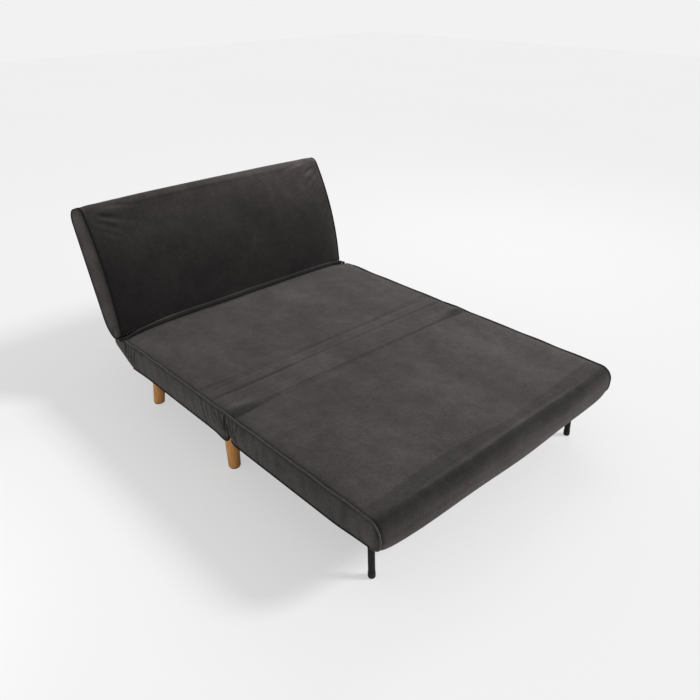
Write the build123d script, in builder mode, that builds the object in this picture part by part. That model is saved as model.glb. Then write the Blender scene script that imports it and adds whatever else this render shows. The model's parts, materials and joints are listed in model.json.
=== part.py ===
"""Two-seat sofa bed, opened out: a seat section on four wooden legs, a foot section that folds
over onto the seat and stands on fold-away metal legs, and a reclining back."""

import math
import os

from build123d import *

os.makedirs("parts", exist_ok=True)

# Axes: +X to the right seen from the foot, +Y towards the back, +Z up, floor at zero.
# The origin is the centre of the footprint of the whole bed, back raised.
# Every length is in millimetres and every angle in degrees.

# Driving sizes of the bed
cushion_width = 1196
leg_height = 200
underside_drop = 1
section_height = 109
bottom_seam_height = leg_height - underside_drop
top_seam_height = bottom_seam_height + section_height
seat_length = 712
foot_length = 717
nose_bow = 14
crown = 4.5
fold_clearance = 0.5
fold_gap = 6
side_draw_in = 14
nose_top_radius = 45
nose_bottom_radius = 48
fold_end_radius = 36
plan_corner_radius = 12
underside_crown = 27

# Driving sizes of the back
back_side_step = 10
back_lean = 19.3
recline_setback = 85
recline_drop = 40
recline_height = top_seam_height - recline_drop
tail_radius = 15
back_front_offset = 42
back_rear_offset = 97
back_top = 549
back_front_bulge = 27
back_crown = 8
back_top_radius = 50
back_edge_radius = 30
back_edge_pinch = 4

# Soft covers and foam
cover_wall = 2.0
soft_gap = 0.3
pad_gap = 0.3

# Steel frames
rail_width = 15
rail_depth = 25
rail_wall = 1.5
frame_end_setback = 45
plate_wall = 4.0
plate_gap = 0.3
frame_side_setback = 43
leg_plate_thickness = 3
seat_rail_bottom = leg_height + leg_plate_thickness
foot_rail_rise = 10
foot_rail_bottom = bottom_seam_height + foot_rail_rise
foot_rail_nose_setback = 45
seat_rail_rear_setback = 25

# Slats
slat_width = 58
slat_thickness = 8
slat_count = 4
slat_end_setback = 60

# Wooden legs
leg_top_diameter = 54
leg_foot_diameter = 45
leg_glide_height = 4
leg_glide_inset = 3
front_leg_inset = 26
front_leg_setback = 103.5
rear_leg_inset = 37
rear_leg_setback = 32
rear_leg_lean = 7.5
leg_plate_size = 50
leg_bolt_diameter = 8
leg_bolt_depth = 40
bolt_fit = 0.05

# Fold-away metal legs
tube_leg_diameter = 22
tube_leg_wall = 1.5
tube_leg_cap_diameter = 24
tube_leg_cap_height = 22
tube_leg_side_gap = 3.8
tube_leg_setback = 105
tube_leg_pivot_rise = 10
tube_leg_pivot_height = foot_rail_bottom + tube_leg_pivot_rise
tube_leg_lean = 2.0
tube_leg_top = 9.5
crossbar_diameter = 14
leg_bracket_wall = 5
leg_bracket_inset = 89.5
leg_bracket_margin = 6
slot_clearance = 2.5
running_fit = 0.05

# Hinges
fold_knuckle_radius = 6
fold_pin_diameter = 6
fold_head_diameter = 11
fold_head_height = 2.4
fold_arm_width = 18
fold_arm_offset = 6
fold_foot_length = 90
fold_relief_radius = 8
fold_slot_reach = 16
fold_shoulder_drop = 18
fold_heel_setback = 38
recline_pin_diameter = 10
recline_head_diameter = 22
recline_head_height = 3
recline_disc_radius = 13.5
base_foot_length = 100
disc_shoulder_share = 0.7
arm_flank_shares = (0.75, 0.5)
arm_heel_share = 0.5
recline_bar_width = 20
recline_relief = 2
ratchet_notch_depth = 1.8
ratchet_notch_width = 3
recline_stops = (0, 24, 47, 70)
pawl_reach = 40
pawl_width = 9
pawl_bar_width = 4.5
pawl_gap = 0.5
pawl_pin_diameter = 5
screw_diameter = 6
screw_head_diameter = 11
screw_head_height = 3
screw_tail = 4
screw_end_share = 0.15
arm_bar_length = 200
arm_slope_share = 0.6

# Back frame
back_frame_face = 30
back_rail_depth = 20
back_panel_thickness = 6
back_frame_bottom = 62
back_frame_top_setback = 62
underside_cloth_thickness = 1.0

# Places worked out from the driving sizes
half_width = cushion_width / 2
back_width = cushion_width - back_side_step * 2
seat_frame_half_width = half_width - frame_side_setback
front_leg_spread = seat_frame_half_width - front_leg_inset
rear_leg_spread = seat_frame_half_width - rear_leg_inset
section_middle = (top_seam_height + bottom_seam_height) / 2
fold_height = top_seam_height + crown + fold_clearance
lean_sine = math.sin(math.radians(back_lean))
lean_cosine = math.cos(math.radians(back_lean))
back_reach = (
    (back_rear_offset - back_top_radius) * lean_cosine
    + (back_top - back_top_radius) * lean_sine
    + back_top_radius
)
overall_depth = foot_length + nose_bow + seat_length + recline_setback + back_reach
nose_y = nose_bow - overall_depth / 2
fold_y = nose_y + foot_length
seat_rear_y = fold_y + seat_length
recline_y = seat_rear_y + recline_setback
foot_frame_half_width = seat_frame_half_width + plate_wall + plate_gap
tube_leg_spread = (
    foot_frame_half_width - rail_width - tube_leg_side_gap - tube_leg_diameter / 2
)
leg_bracket_spread = tube_leg_spread - leg_bracket_inset
sides = ((-1, "left"), (1, "right"))


# Shapes shared by several pieces
def side_plane(x):
    """A plane across the bed at x, with local axes along Y and Z."""
    return Plane(origin=(x, 0, 0), x_dir=(0, 1, 0), z_dir=(1, 0, 0))


def back_plane(x):
    """A plane across the bed at x, at the recline axis, with local axes through and up the back."""
    return Plane(
        origin=(x, recline_y, recline_height),
        x_dir=(0, lean_cosine, -lean_sine),
        z_dir=(1, 0, 0),
    )


def level_sketch(z, half, front, rear, bow):
    """One level of a cushion: a rectangle with rounded corners and a bowed foot end."""
    radius = plan_corner_radius
    corner = radius * (1 - math.sqrt(0.5))
    with BuildSketch(Plane.XY.offset(z)) as level:
        with BuildLine():
            Line((-half, rear - radius), (-half, front + radius))
            ThreePointArc(
                (-half, front + radius),
                (-half + corner, front + corner),
                (-half + radius, front),
            )
            if bow > 0:
                ThreePointArc((-half + radius, front), (0, front - bow), (half - radius, front))
            else:
                Line((-half + radius, front), (half - radius, front))
            ThreePointArc(
                (half - radius, front),
                (half - corner, front + corner),
                (half, front + radius),
            )
            Line((half, front + radius), (half, rear - radius))
            ThreePointArc(
                (half, rear - radius),
                (half - corner, rear - corner),
                (half - radius, rear),
            )
            Line((half - radius, rear), (-half + radius, rear))
            ThreePointArc(
                (-half + radius, rear),
                (-half + corner, rear - corner),
                (-half, rear - radius),
            )
        make_face()
    return level.sketch


def round_setback(z, centre, radius):
    """How far a rounded lower edge has drawn back at height z."""
    fall = min(max(centre - z, 0), radius)
    return radius - math.sqrt(radius * radius - fall * fall)


def round_over_setback(z, centre, radius):
    """How far a rounded upper edge has drawn back at height z."""
    rise = min(max(z - centre, 0), radius)
    return radius - math.sqrt(radius * radius - rise * rise)


def side_half_width(z):
    """Half width of a cushion at height z: full at the top seam, drawn in towards the lower one."""
    depth_share = (top_seam_height - z) / section_height
    return half_width - side_draw_in * depth_share**1.6


def nose_front(z):
    """Where the foot end of the cushion lies at height z, at its corners."""
    upper = round_over_setback(z, top_seam_height - nose_top_radius, nose_top_radius)
    lower = round_setback(z, bottom_seam_height + nose_bottom_radius, nose_bottom_radius)
    return nose_y + upper + lower


def fold_end_setback(z):
    """How far a section's end stands back from the fold at height z."""
    return fold_gap / 2 + round_setback(z, bottom_seam_height + fold_end_radius, fold_end_radius)


# Tangent lines from the seat's rear seams to the roll around the recline axis
tail_top_dy = -recline_setback
tail_top_dz = top_seam_height - recline_height
tail_bottom_setback = 21
tail_bottom_dy = -recline_setback - tail_bottom_setback
tail_bottom_dz = bottom_seam_height - recline_height


def tail_rear(z):
    """Where the seat's rear end lies at height z: it runs out to a roll around the recline axis."""
    dz = z - recline_height
    top_distance = math.hypot(tail_top_dy, tail_top_dz)
    top_angle = math.atan2(-tail_top_dz, -tail_top_dy) + math.asin(tail_radius / top_distance)
    low_distance = math.hypot(tail_bottom_dy, tail_bottom_dz)
    low_angle = math.atan2(-tail_bottom_dz, -tail_bottom_dy) - math.asin(tail_radius / low_distance)
    top_touch = tail_radius * math.cos(top_angle)
    low_touch = -tail_radius * math.cos(low_angle)
    if dz > top_touch:
        return recline_y + tail_top_dy + (dz - tail_top_dz) / math.tan(top_angle)
    if dz < low_touch:
        return recline_y + tail_bottom_dy + (dz - tail_bottom_dz) / math.tan(low_angle)
    return recline_y + math.sqrt(tail_radius * tail_radius - dz * dz)


# Levels of the cushions: shares of the crown with how far each level has drawn in
crown_shares = (0.45, 0.75, 0.93, 1.0)
crown_draw_in = (14, 45, 120, 240)
fold_draw_in_share = 0.12
nose_arc_angles = (60, 35, 12)
nose_low_angles = (10, 30, 50, 70)
tail_arc_shares = (0.96, 0.7, 0.0, -0.5, -0.88)
fold_end_shares = (0.1, 0.3, 0.6, 1.0)


def seam_levels():
    """Heights of the levels between the two seams of the foot section, from the bottom up."""
    low_centre = bottom_seam_height + nose_bottom_radius
    top_centre = top_seam_height - nose_top_radius
    low = [
        low_centre - nose_bottom_radius * math.sin(math.radians(angle))
        for angle in reversed(nose_low_angles)
    ]
    high = [
        top_centre + nose_top_radius * math.sin(math.radians(angle))
        for angle in reversed(nose_arc_angles)
    ]
    return [bottom_seam_height, *low, *high, top_seam_height]


def seat_levels():
    """Heights of the levels between the two seams of the seat, from the bottom up."""
    low = [bottom_seam_height + fold_end_radius * share for share in fold_end_shares]
    roll = [recline_height + tail_radius * share for share in reversed(tail_arc_shares)]
    return [
        bottom_seam_height,
        *low,
        *roll,
        top_seam_height,
    ]


def squeezed(z, inset):
    """The height of a level drawn in by the inset at both seams, in step between them."""
    return section_middle + (z - section_middle) * (1 - 2 * inset / section_height)


def foot_section_form(inset, mode):
    """Lofts the foot section's cushion, drawn in by the inset on every side."""
    fold_edge = fold_y - inset
    levels = []
    for share, draw_in in reversed(tuple(zip(crown_shares, crown_draw_in))):
        levels.append(
            level_sketch(
                squeezed(bottom_seam_height, inset) - underside_crown * share,
                side_half_width(bottom_seam_height) - draw_in - inset,
                nose_front(bottom_seam_height) + draw_in + inset,
                fold_edge - fold_end_setback(bottom_seam_height) - draw_in,
                nose_bow,
            )
        )
    for z in seam_levels():
        levels.append(
            level_sketch(
                squeezed(z, inset),
                side_half_width(z) - inset,
                nose_front(z) + inset,
                fold_edge - fold_end_setback(z),
                nose_bow,
            )
        )
    for share, draw_in in zip(crown_shares, crown_draw_in):
        levels.append(
            level_sketch(
                squeezed(top_seam_height, inset) + crown * share,
                half_width - draw_in - inset,
                nose_front(top_seam_height) + draw_in + inset,
                fold_edge - fold_gap / 2 - draw_in * fold_draw_in_share,
                nose_bow,
            )
        )
    loft(levels, ruled=True, mode=mode)


def seat_form(inset, mode):
    """Lofts the seat's cushion, drawn in by the inset on every side."""
    fold_edge = fold_y + inset
    levels = []
    for z in seat_levels():
        levels.append(
            level_sketch(
                squeezed(z, inset),
                side_half_width(z) - inset,
                fold_edge + fold_end_setback(z),
                tail_rear(z) - inset,
                0,
            )
        )
    for share, draw_in in zip(crown_shares, crown_draw_in):
        levels.append(
            level_sketch(
                squeezed(top_seam_height, inset) + crown * share,
                half_width - draw_in - inset,
                fold_edge + fold_gap / 2 + draw_in * fold_draw_in_share,
                seat_rear_y - draw_in - inset,
                0,
            )
        )
    loft(levels, ruled=True, mode=mode)


# Outline of the back in its own plane, set out from the recline axis
back_bottom_front = 24.5
back_bottom_rear = 9
back_bottom_front_run = 20
back_bottom_rear_run = 28
back_heel_height = 100


def back_sketch(x, inset, swell):
    """The back's side outline: bulged front, rounded top, heel cut away at the bottom rear."""
    front = -back_front_offset + inset - swell
    rear = back_rear_offset - inset
    top = back_top - inset
    edge = back_edge_radius
    corner = edge * (1 - math.sqrt(0.5))
    top_corner = back_top_radius * (1 - math.sqrt(0.5))
    low_front = (-back_bottom_front_run, back_bottom_front + inset)
    low_rear = (back_bottom_rear_run, back_bottom_rear + inset)
    front_low = (front, back_bottom_front + inset + edge)
    front_high = (front, top - edge)
    front_middle = (front - back_front_bulge, (front_low[1] + front_high[1]) / 2)
    top_front = (front + edge, top)
    top_rear = (rear - back_top_radius, top)
    rear_high = (rear, top - back_top_radius)
    heel = (rear, back_heel_height)
    heel_middle = ((low_rear[0] + rear) / 2 + corner, (low_rear[1] + back_heel_height) / 2 - corner)
    with BuildSketch(back_plane(x)) as outline:
        with BuildLine():
            Line(low_front, low_rear)
            ThreePointArc(low_rear, heel_middle, heel)
            Line(heel, rear_high)
            ThreePointArc(rear_high, (rear - top_corner, top - top_corner), top_rear)
            Line(top_rear, top_front)
            ThreePointArc(top_front, (front + corner, top - corner), front_high)
            ThreePointArc(front_high, front_middle, front_low)
            ThreePointArc(
                front_low,
                (front + corner, back_bottom_front + inset + corner),
                low_front,
            )
        make_face()
    return outline.sketch


back_station_shares = (1.0, 0.985, 0.9, 0.6, 0.0)
back_swell_shares = (0.0, 0.35, 0.65, 0.92, 1.0)


def back_form(inset, mode):
    """Lofts the back's cushion from side to side, drawn in by the inset all round."""
    half = back_width / 2 - inset
    stations = list(zip(back_station_shares, back_swell_shares))
    left_to_middle = [(-share, swell) for share, swell in stations]
    middle_to_right = list(reversed(stations[:-1]))
    outlines = []
    for share, swell in left_to_middle + middle_to_right:
        pinch = back_edge_pinch if abs(share) == 1 else 0
        outlines.append(back_sketch(half * share, inset + pinch, back_crown * swell))
    loft(outlines, ruled=True, mode=mode)


def block_between(low, high, mode=Mode.ADD):
    """A block between two corners of the bed."""
    middle = [(a + b) / 2 for a, b in zip(low, high)]
    spans = [b - a for a, b in zip(low, high)]
    with Locations(tuple(middle)):
        Box(*spans, mode=mode)


def disc_along_x(x_low, x_high, y, z, radius, mode=Mode.ADD):
    """A round piece lying along X between two places."""
    with BuildSketch(side_plane(x_low)) as disc:
        with Locations((y, z)):
            Circle(radius)
    extrude(disc.sketch, amount=x_high - x_low, mode=mode)


def screws_along_x(side, face, places, through, grip=Mode.ADD):
    """Screws driven inwards through plates and a tube wall, or the holes for them."""
    hole = bolt_fit if grip == Mode.SUBTRACT else 0
    for y, z in places:
        ends = sorted((side * (face - through), side * face))
        disc_along_x(*ends, y, z, screw_diameter / 2 + hole, grip)
        if grip == Mode.ADD:
            ends = sorted((side * face, side * (face + screw_head_height)))
            disc_along_x(*ends, y, z, screw_head_diameter / 2)


def write(piece, label):
    piece.part.label = label
    export_step(piece.part, f"parts/{label}.step")


# Bounds of the trays under the seat and inside the foot section
seat_tray_half = seat_frame_half_width + plate_wall + screw_head_height + soft_gap * 2
foot_tray_half = foot_frame_half_width + plate_wall + screw_head_height + soft_gap * 2
seat_rail_top = seat_rail_bottom + rail_depth
foot_rail_top = foot_rail_bottom + rail_depth
seat_tray_top = seat_rail_top + slat_thickness + pad_gap
foot_tray_top = foot_rail_top + slat_thickness + pad_gap
seat_frame_front = fold_y + frame_end_setback
seat_frame_rear = seat_rear_y - seat_rail_rear_setback
foot_frame_rear = fold_y - frame_end_setback
foot_frame_front = nose_y + foot_rail_nose_setback
slot_lead_share = 0.12
leg_pivot_y = nose_y + tube_leg_setback
slot_half = tube_leg_cap_diameter / 2 + slot_clearance
slot_front = leg_pivot_y - slot_half - tube_leg_setback * slot_lead_share
slot_rear = leg_pivot_y + tube_leg_pivot_height + slot_clearance

# Planes in which the hinge plates lie, outwards from the bed's middle
seat_plate_in = seat_frame_half_width
seat_plate_out = seat_plate_in + plate_wall
foot_plate_in = foot_frame_half_width
foot_plate_out = foot_plate_in + plate_wall
arm_plate_out = seat_plate_in - plate_gap
arm_plate_in = arm_plate_out - plate_wall
back_rail_front = back_frame_face
back_rail_rear = back_frame_face + back_rail_depth
back_rail_middle = (back_rail_front + back_rail_rear) / 2
back_frame_half_width = arm_plate_in
plate_relief_in = arm_plate_in - recline_head_height - soft_gap * 2
plate_relief_out = seat_plate_out + recline_head_height + soft_gap * 2
fold_relief_in = seat_plate_in - fold_head_height - soft_gap * 2
fold_relief_out = foot_plate_out + fold_head_height + soft_gap * 2


def cut_fold_knuckle(section_side):
    """Clears the fold hinge's knuckle and pin out of a cushion's end."""
    plate_in = seat_plate_in if section_side > 0 else foot_plate_in
    for side, _ in sides:
        x_ends = sorted((side * fold_relief_in, side * fold_relief_out))
        disc_along_x(*x_ends, fold_y, fold_height, fold_relief_radius, Mode.SUBTRACT)
        x_ends = sorted((side * (plate_in - soft_gap), side * (plate_in + plate_wall + soft_gap)))
        y_ends = sorted((fold_y, fold_y + section_side * fold_slot_reach))
        block_between(
            (x_ends[0], y_ends[0], fold_height - fold_shoulder_drop - fold_head_height),
            (x_ends[1], y_ends[1], fold_height),
            Mode.SUBTRACT,
        )


def cut_fold_arm(section_side, rail_bottom, rail_top):
    """Clears the fold hinge's arm, down to the frame, out of a cushion's foam."""
    plate_in = seat_plate_in if section_side > 0 else foot_plate_in
    for side, _ in sides:
        x_ends = sorted((side * (plate_in - soft_gap), side * (plate_in + plate_wall + soft_gap)))
        near = fold_y + section_side * (fold_arm_offset - soft_gap)
        far = fold_y + section_side * (fold_arm_offset + fold_arm_width + soft_gap)
        frame = fold_y + section_side * frame_end_setback
        y_ends = sorted((near, far))
        block_between(
            (x_ends[0], y_ends[0], rail_bottom - soft_gap),
            (x_ends[1], y_ends[1], fold_height),
            Mode.SUBTRACT,
        )
        y_ends = sorted((near, frame))
        block_between(
            (x_ends[0], y_ends[0], rail_bottom - soft_gap),
            (x_ends[1], y_ends[1], rail_top + soft_gap),
            Mode.SUBTRACT,
        )


def cut_tail_ends():
    """Clears the recliner plates and pins out of the roll at the seat's rear end."""
    for side, _ in sides:
        ends = sorted((side * plate_relief_in, side * plate_relief_out))
        disc_along_x(*ends, recline_y, recline_height, tail_radius + recline_relief, Mode.SUBTRACT)


# Seat cushion cover: corduroy skin, open below where the frame goes in
with BuildPart() as seat_cover:
    seat_form(0, Mode.ADD)
    seat_form(cover_wall, Mode.SUBTRACT)
    block_between(
        (-seat_tray_half, fold_y + fold_end_radius, bottom_seam_height - section_height),
        (seat_tray_half, seat_rear_y - tail_bottom_setback, bottom_seam_height + cover_wall * 2),
        Mode.SUBTRACT,
    )
    cut_fold_knuckle(1)
    cut_tail_ends()
write(seat_cover, "seat_cover")

# Seat foam: a cushion over the slats with a border down around the frame
recline_bar_front = recline_y - recline_setback - seat_rail_rear_setback
with BuildPart() as seat_foam:
    seat_form(cover_wall + soft_gap, Mode.ADD)
    block_between(
        (-seat_tray_half, seat_frame_front - soft_gap, bottom_seam_height - section_height),
        (seat_tray_half, seat_frame_rear + soft_gap, seat_tray_top),
        Mode.SUBTRACT,
    )
    cut_fold_knuckle(1)
    cut_fold_arm(1, seat_rail_bottom, seat_rail_top)
    cut_tail_ends()
    for side, _ in sides:
        ends = sorted((side * (seat_plate_in - soft_gap), side * (seat_plate_out + soft_gap)))
        with BuildSketch(side_plane(ends[0])):
            with BuildLine():
                Polyline(
                    (recline_y, recline_height + recline_disc_radius),
                    (recline_y, bottom_seam_height),
                    (recline_bar_front - recline_bar_width, bottom_seam_height),
                    (recline_bar_front - recline_bar_width, seat_rail_top + recline_relief),
                    (recline_bar_front, seat_rail_top + recline_relief * 2),
                    close=True,
                )
            make_face()
        extrude(amount=ends[1] - ends[0], mode=Mode.SUBTRACT)
write(seat_foam, "seat_foam")

# Foot section cover: corduroy skin on both faces, with a slot for each metal leg
with BuildPart() as foot_cover:
    foot_section_form(0, Mode.ADD)
    foot_section_form(cover_wall, Mode.SUBTRACT)
    cut_fold_knuckle(-1)
    for side, _ in sides:
        block_between(
            (side * tube_leg_spread - slot_half, slot_front, 0),
            (side * tube_leg_spread + slot_half, slot_rear, foot_rail_bottom),
            Mode.SUBTRACT,
        )
write(foot_cover, "foot_cover")

# Foot section upper foam, the sleeping side
with BuildPart() as foot_top_foam:
    foot_section_form(cover_wall + soft_gap, Mode.ADD)
    block_between(
        (-half_width, nose_y - nose_bow, 0),
        (half_width, fold_y, foot_tray_top),
        Mode.SUBTRACT,
    )
    cut_fold_knuckle(-1)
    cut_fold_arm(-1, foot_rail_bottom, foot_rail_top)
write(foot_top_foam, "foot_top_foam")

# Foot section lower foam, the sitting side: a pad with a border around the frame
with BuildPart() as foot_base_foam:
    foot_section_form(cover_wall + soft_gap, Mode.ADD)
    block_between(
        (-half_width, nose_y - nose_bow, foot_tray_top - soft_gap),
        (half_width, fold_y, fold_height + crown),
        Mode.SUBTRACT,
    )
    block_between(
        (-foot_tray_half, foot_frame_front - soft_gap, foot_rail_bottom - soft_gap),
        (foot_tray_half, foot_frame_rear + soft_gap, fold_height),
        Mode.SUBTRACT,
    )
    cut_fold_arm(-1, foot_rail_bottom, foot_rail_top)
    for side, _ in sides:
        block_between(
            (side * tube_leg_spread - slot_half, slot_front, 0),
            (side * tube_leg_spread + slot_half, slot_rear, foot_rail_bottom),
            Mode.SUBTRACT,
        )
write(foot_base_foam, "foot_base_foam")


def tube_along(axis, low, high):
    """A rectangular steel tube between two corners of the bed, hollow along the named axis."""
    block_between(low, high)
    bore_low = [a + rail_wall for a in low]
    bore_high = [b - rail_wall for b in high]
    bore_low[axis] = low[axis]
    bore_high[axis] = high[axis]
    block_between(bore_low, bore_high, Mode.SUBTRACT)


# Screw places on the frames: along each hinge leaf's foot and each recliner base
def screw_row(start, run, z):
    """A pair of screw places near the ends of a plate's foot."""
    near = start + run * screw_end_share
    far = start + run * (1 - screw_end_share)
    return [(near, z), (far, z)]


seat_screw_z = (seat_rail_bottom + seat_rail_top) / 2
foot_screw_z = (foot_rail_bottom + foot_rail_top) / 2
seat_leaf_screws = screw_row(seat_frame_front, fold_foot_length, seat_screw_z)
foot_leaf_screws = screw_row(foot_frame_rear, -fold_foot_length, foot_screw_z)
base_screws = screw_row(recline_bar_front, -base_foot_length, seat_screw_z)

# Seat frame: side tubes with cross tubes butted between them
for side, side_name in sides:
    x_ends = sorted((side * seat_frame_half_width, side * (seat_frame_half_width - rail_width)))
    with BuildPart() as rail:
        tube_along(
            1,
            (x_ends[0], seat_frame_front, seat_rail_bottom),
            (x_ends[1], seat_frame_rear, seat_rail_top),
        )
        screws_along_x(
            side,
            seat_frame_half_width,
            seat_leaf_screws + base_screws,
            rail_wall,
            Mode.SUBTRACT,
        )
    write(rail, f"seat_rail_{side_name}")
seat_cross_half = seat_frame_half_width - rail_width
for y_low, label in (
    (seat_frame_front, "seat_rail_front"),
    (seat_frame_rear - rail_width, "seat_rail_rear"),
):
    with BuildPart() as rail:
        tube_along(
            0,
            (-seat_cross_half, y_low, seat_rail_bottom),
            (seat_cross_half, y_low + rail_width, seat_rail_top),
        )
    write(rail, label)

# Foot section frame, a little wider so that its hinge plates pass outside the seat's
for side, side_name in sides:
    x_ends = sorted((side * foot_frame_half_width, side * (foot_frame_half_width - rail_width)))
    with BuildPart() as rail:
        tube_along(
            1,
            (x_ends[0], foot_frame_front, foot_rail_bottom),
            (x_ends[1], foot_frame_rear, foot_rail_top),
        )
        screws_along_x(
            side, foot_frame_half_width, foot_leaf_screws, rail_wall, Mode.SUBTRACT
        )
    write(rail, f"foot_rail_{side_name}")
foot_cross_half = foot_frame_half_width - rail_width
for y_low, label in (
    (foot_frame_front, "foot_rail_end"),
    (foot_frame_rear - rail_width, "foot_rail_fold"),
):
    with BuildPart() as rail:
        tube_along(
            0,
            (-foot_cross_half, y_low, foot_rail_bottom),
            (foot_cross_half, y_low + rail_width, foot_rail_top),
        )
    write(rail, label)


def write_slats(name, half, y_low, y_high, z):
    """Slats laid across a frame at an even spacing between two places."""
    step = (y_high - y_low - slat_width) / (slat_count - 1)
    for number in range(slat_count):
        start = y_low + step * number
        with BuildPart() as slat:
            block_between((-half, start, z), (half, start + slat_width, z + slat_thickness))
            fillet(slat.edges().filter_by(Axis.X), slat_thickness / 4)
        write(slat, f"{name}_slat_{number + 1}")


write_slats(
    "seat",
    seat_frame_half_width,
    seat_frame_front + slat_end_setback,
    seat_frame_rear - slat_end_setback,
    seat_rail_top,
)
write_slats(
    "foot",
    foot_frame_half_width,
    foot_frame_front + slat_end_setback,
    foot_frame_rear - slat_end_setback,
    foot_rail_top,
)

# Wooden legs: floor places, and lean of the rear pair outwards and to the rear
front_leg_y = fold_y + front_leg_setback
rear_leg_y = seat_rear_y - rear_leg_setback
lean_run = leg_height * math.tan(math.radians(rear_leg_lean)) * math.sqrt(0.5)
leg_places = []
for side, side_name in sides:
    leg_places.append((f"front_{side_name}", (side * front_leg_spread, front_leg_y), (0, 0)))
    leg_places.append(
        (f"rear_{side_name}", (side * rear_leg_spread, rear_leg_y), (-side * lean_run, -lean_run))
    )


def leg_axis(place, run):
    """A leg's plane at the floor, with its normal up along the leaning leg."""
    return Plane(origin=(*place, 0), z_dir=(run[0], run[1], leg_height))


leg_slope = (leg_top_diameter - leg_foot_diameter) / 2 / leg_height
for name, place, run in leg_places:
    floor_plane = leg_axis(place, run)
    overrun = leg_top_diameter * math.tan(math.radians(rear_leg_lean))
    leg_length = math.hypot(run[0], run[1], leg_height) + overrun
    with BuildPart() as wood_leg:
        with BuildSketch(floor_plane.offset(-overrun)):
            Circle(leg_foot_diameter / 2 - leg_slope * overrun)
        with BuildSketch(floor_plane.offset(leg_length)):
            Circle(leg_foot_diameter / 2 + leg_slope * leg_length)
        loft()
        block_between(
            (place[0] - leg_height, place[1] - leg_height, -leg_height),
            (place[0] + leg_height, place[1] + leg_height, leg_glide_height),
            Mode.SUBTRACT,
        )
        block_between(
            (place[0] - leg_height, place[1] - leg_height, leg_height),
            (place[0] + leg_height, place[1] + leg_height, leg_height * 2),
            Mode.SUBTRACT,
        )
        with BuildSketch(Plane.XY.offset(leg_height - leg_bolt_depth)):
            with Locations((place[0] + run[0], place[1] + run[1])):
                Circle(leg_bolt_diameter / 2 + bolt_fit)
        extrude(amount=leg_bolt_depth, mode=Mode.SUBTRACT)
    write(wood_leg, f"wood_leg_{name}")

# Glides under the wooden legs
with BuildPart() as leg_glides:
    for name, place, run in leg_places:
        with BuildSketch(Plane.XY):
            with Locations(place):
                Circle(leg_foot_diameter / 2 - leg_glide_inset)
        extrude(amount=leg_glide_height)
write(leg_glides, "leg_glides")

# Mounting plates under the seat frame, one over each leg, and the bolts into the wood
plate_places = []
for name, place, run in leg_places:
    top = (place[0] + run[0], place[1] + run[1])
    side = math.copysign(1, place[0])
    outer = side * seat_frame_half_width
    inner = outer - side * (leg_plate_size + (seat_frame_half_width - abs(top[0])))
    plate_places.append((top, *sorted((outer, inner))))
with BuildPart() as leg_plates:
    for top, x_low, x_high in plate_places:
        block_between(
            (x_low, top[1] - leg_plate_size / 2, leg_height),
            (x_high, top[1] + leg_plate_size / 2, seat_rail_bottom),
        )
    for top, x_low, x_high in plate_places:
        with BuildSketch(Plane.XY.offset(leg_height)):
            with Locations(top):
                Circle(leg_bolt_diameter / 2 + bolt_fit)
        extrude(amount=seat_rail_bottom - leg_height, mode=Mode.SUBTRACT)
write(leg_plates, "leg_mounting_plates")

# Bolts up from each leg through its plate, with a thin head on the plate beside the side tube
with BuildPart() as leg_bolts:
    for top, x_low, x_high in plate_places:
        with BuildSketch(Plane.XY.offset(leg_height - leg_bolt_depth)):
            with Locations(top):
                Circle(leg_bolt_diameter / 2)
        extrude(amount=leg_bolt_depth + seat_rail_bottom - leg_height)
        with BuildSketch(Plane.XY.offset(seat_rail_bottom)):
            with Locations(top):
                RegularPolygon(screw_head_diameter / 2, 6)
        extrude(amount=screw_head_height)
write(leg_bolts, "leg_bolts")

# Cloth closing the seat's underside, with a hole round each leg
cloth_height = bottom_seam_height - underside_cloth_thickness
with BuildPart() as seat_underside_cloth:
    block_between(
        (-seat_tray_half + soft_gap, fold_y + fold_end_radius + soft_gap, cloth_height),
        (
            seat_tray_half - soft_gap,
            seat_rear_y - tail_bottom_setback - soft_gap,
            bottom_seam_height,
        ),
    )
    for name, place, run in leg_places:
        near_top = cloth_height / leg_height
        with BuildSketch(Plane.XY.offset(cloth_height)):
            with Locations((place[0] + run[0] * near_top, place[1] + run[1] * near_top)):
                Circle(leg_top_diameter / 2 + soft_gap * 2)
        extrude(amount=underside_cloth_thickness, mode=Mode.SUBTRACT)
write(seat_underside_cloth, "seat_underside_cloth")


def fold_leaf(x_in, x_out, section_side, rail_bottom, rail_top, side):
    """A cranked hinge leaf: knuckle at the fold, arm down the cushion's end, foot on the rail."""
    x_ends = sorted((side * x_in, side * x_out))
    arm_near = fold_y + section_side * fold_arm_offset
    arm_far = fold_y + section_side * (fold_arm_offset + fold_arm_width)
    foot_far = fold_y + section_side * (frame_end_setback + fold_foot_length)
    with BuildSketch(side_plane(x_ends[0])) as leaf:
        with Locations((fold_y, fold_height)):
            Circle(fold_knuckle_radius)
        with BuildLine():
            Polyline(
                (fold_y + section_side * fold_knuckle_radius, fold_height),
                (arm_far, fold_height - fold_knuckle_radius * 2),
                (arm_far, rail_top),
                (foot_far, rail_top),
                (foot_far, rail_bottom),
                (fold_y + section_side * fold_heel_setback, rail_bottom),
                (arm_near, bottom_seam_height + fold_end_radius),
                (arm_near, fold_height - fold_shoulder_drop),
                (fold_y, fold_height - fold_knuckle_radius),
                close=True,
            )
        make_face()
        with Locations((fold_y, fold_height)):
            Circle(fold_pin_diameter / 2 + running_fit, mode=Mode.SUBTRACT)
    extrude(leaf.sketch, amount=x_ends[1] - x_ends[0])


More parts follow.
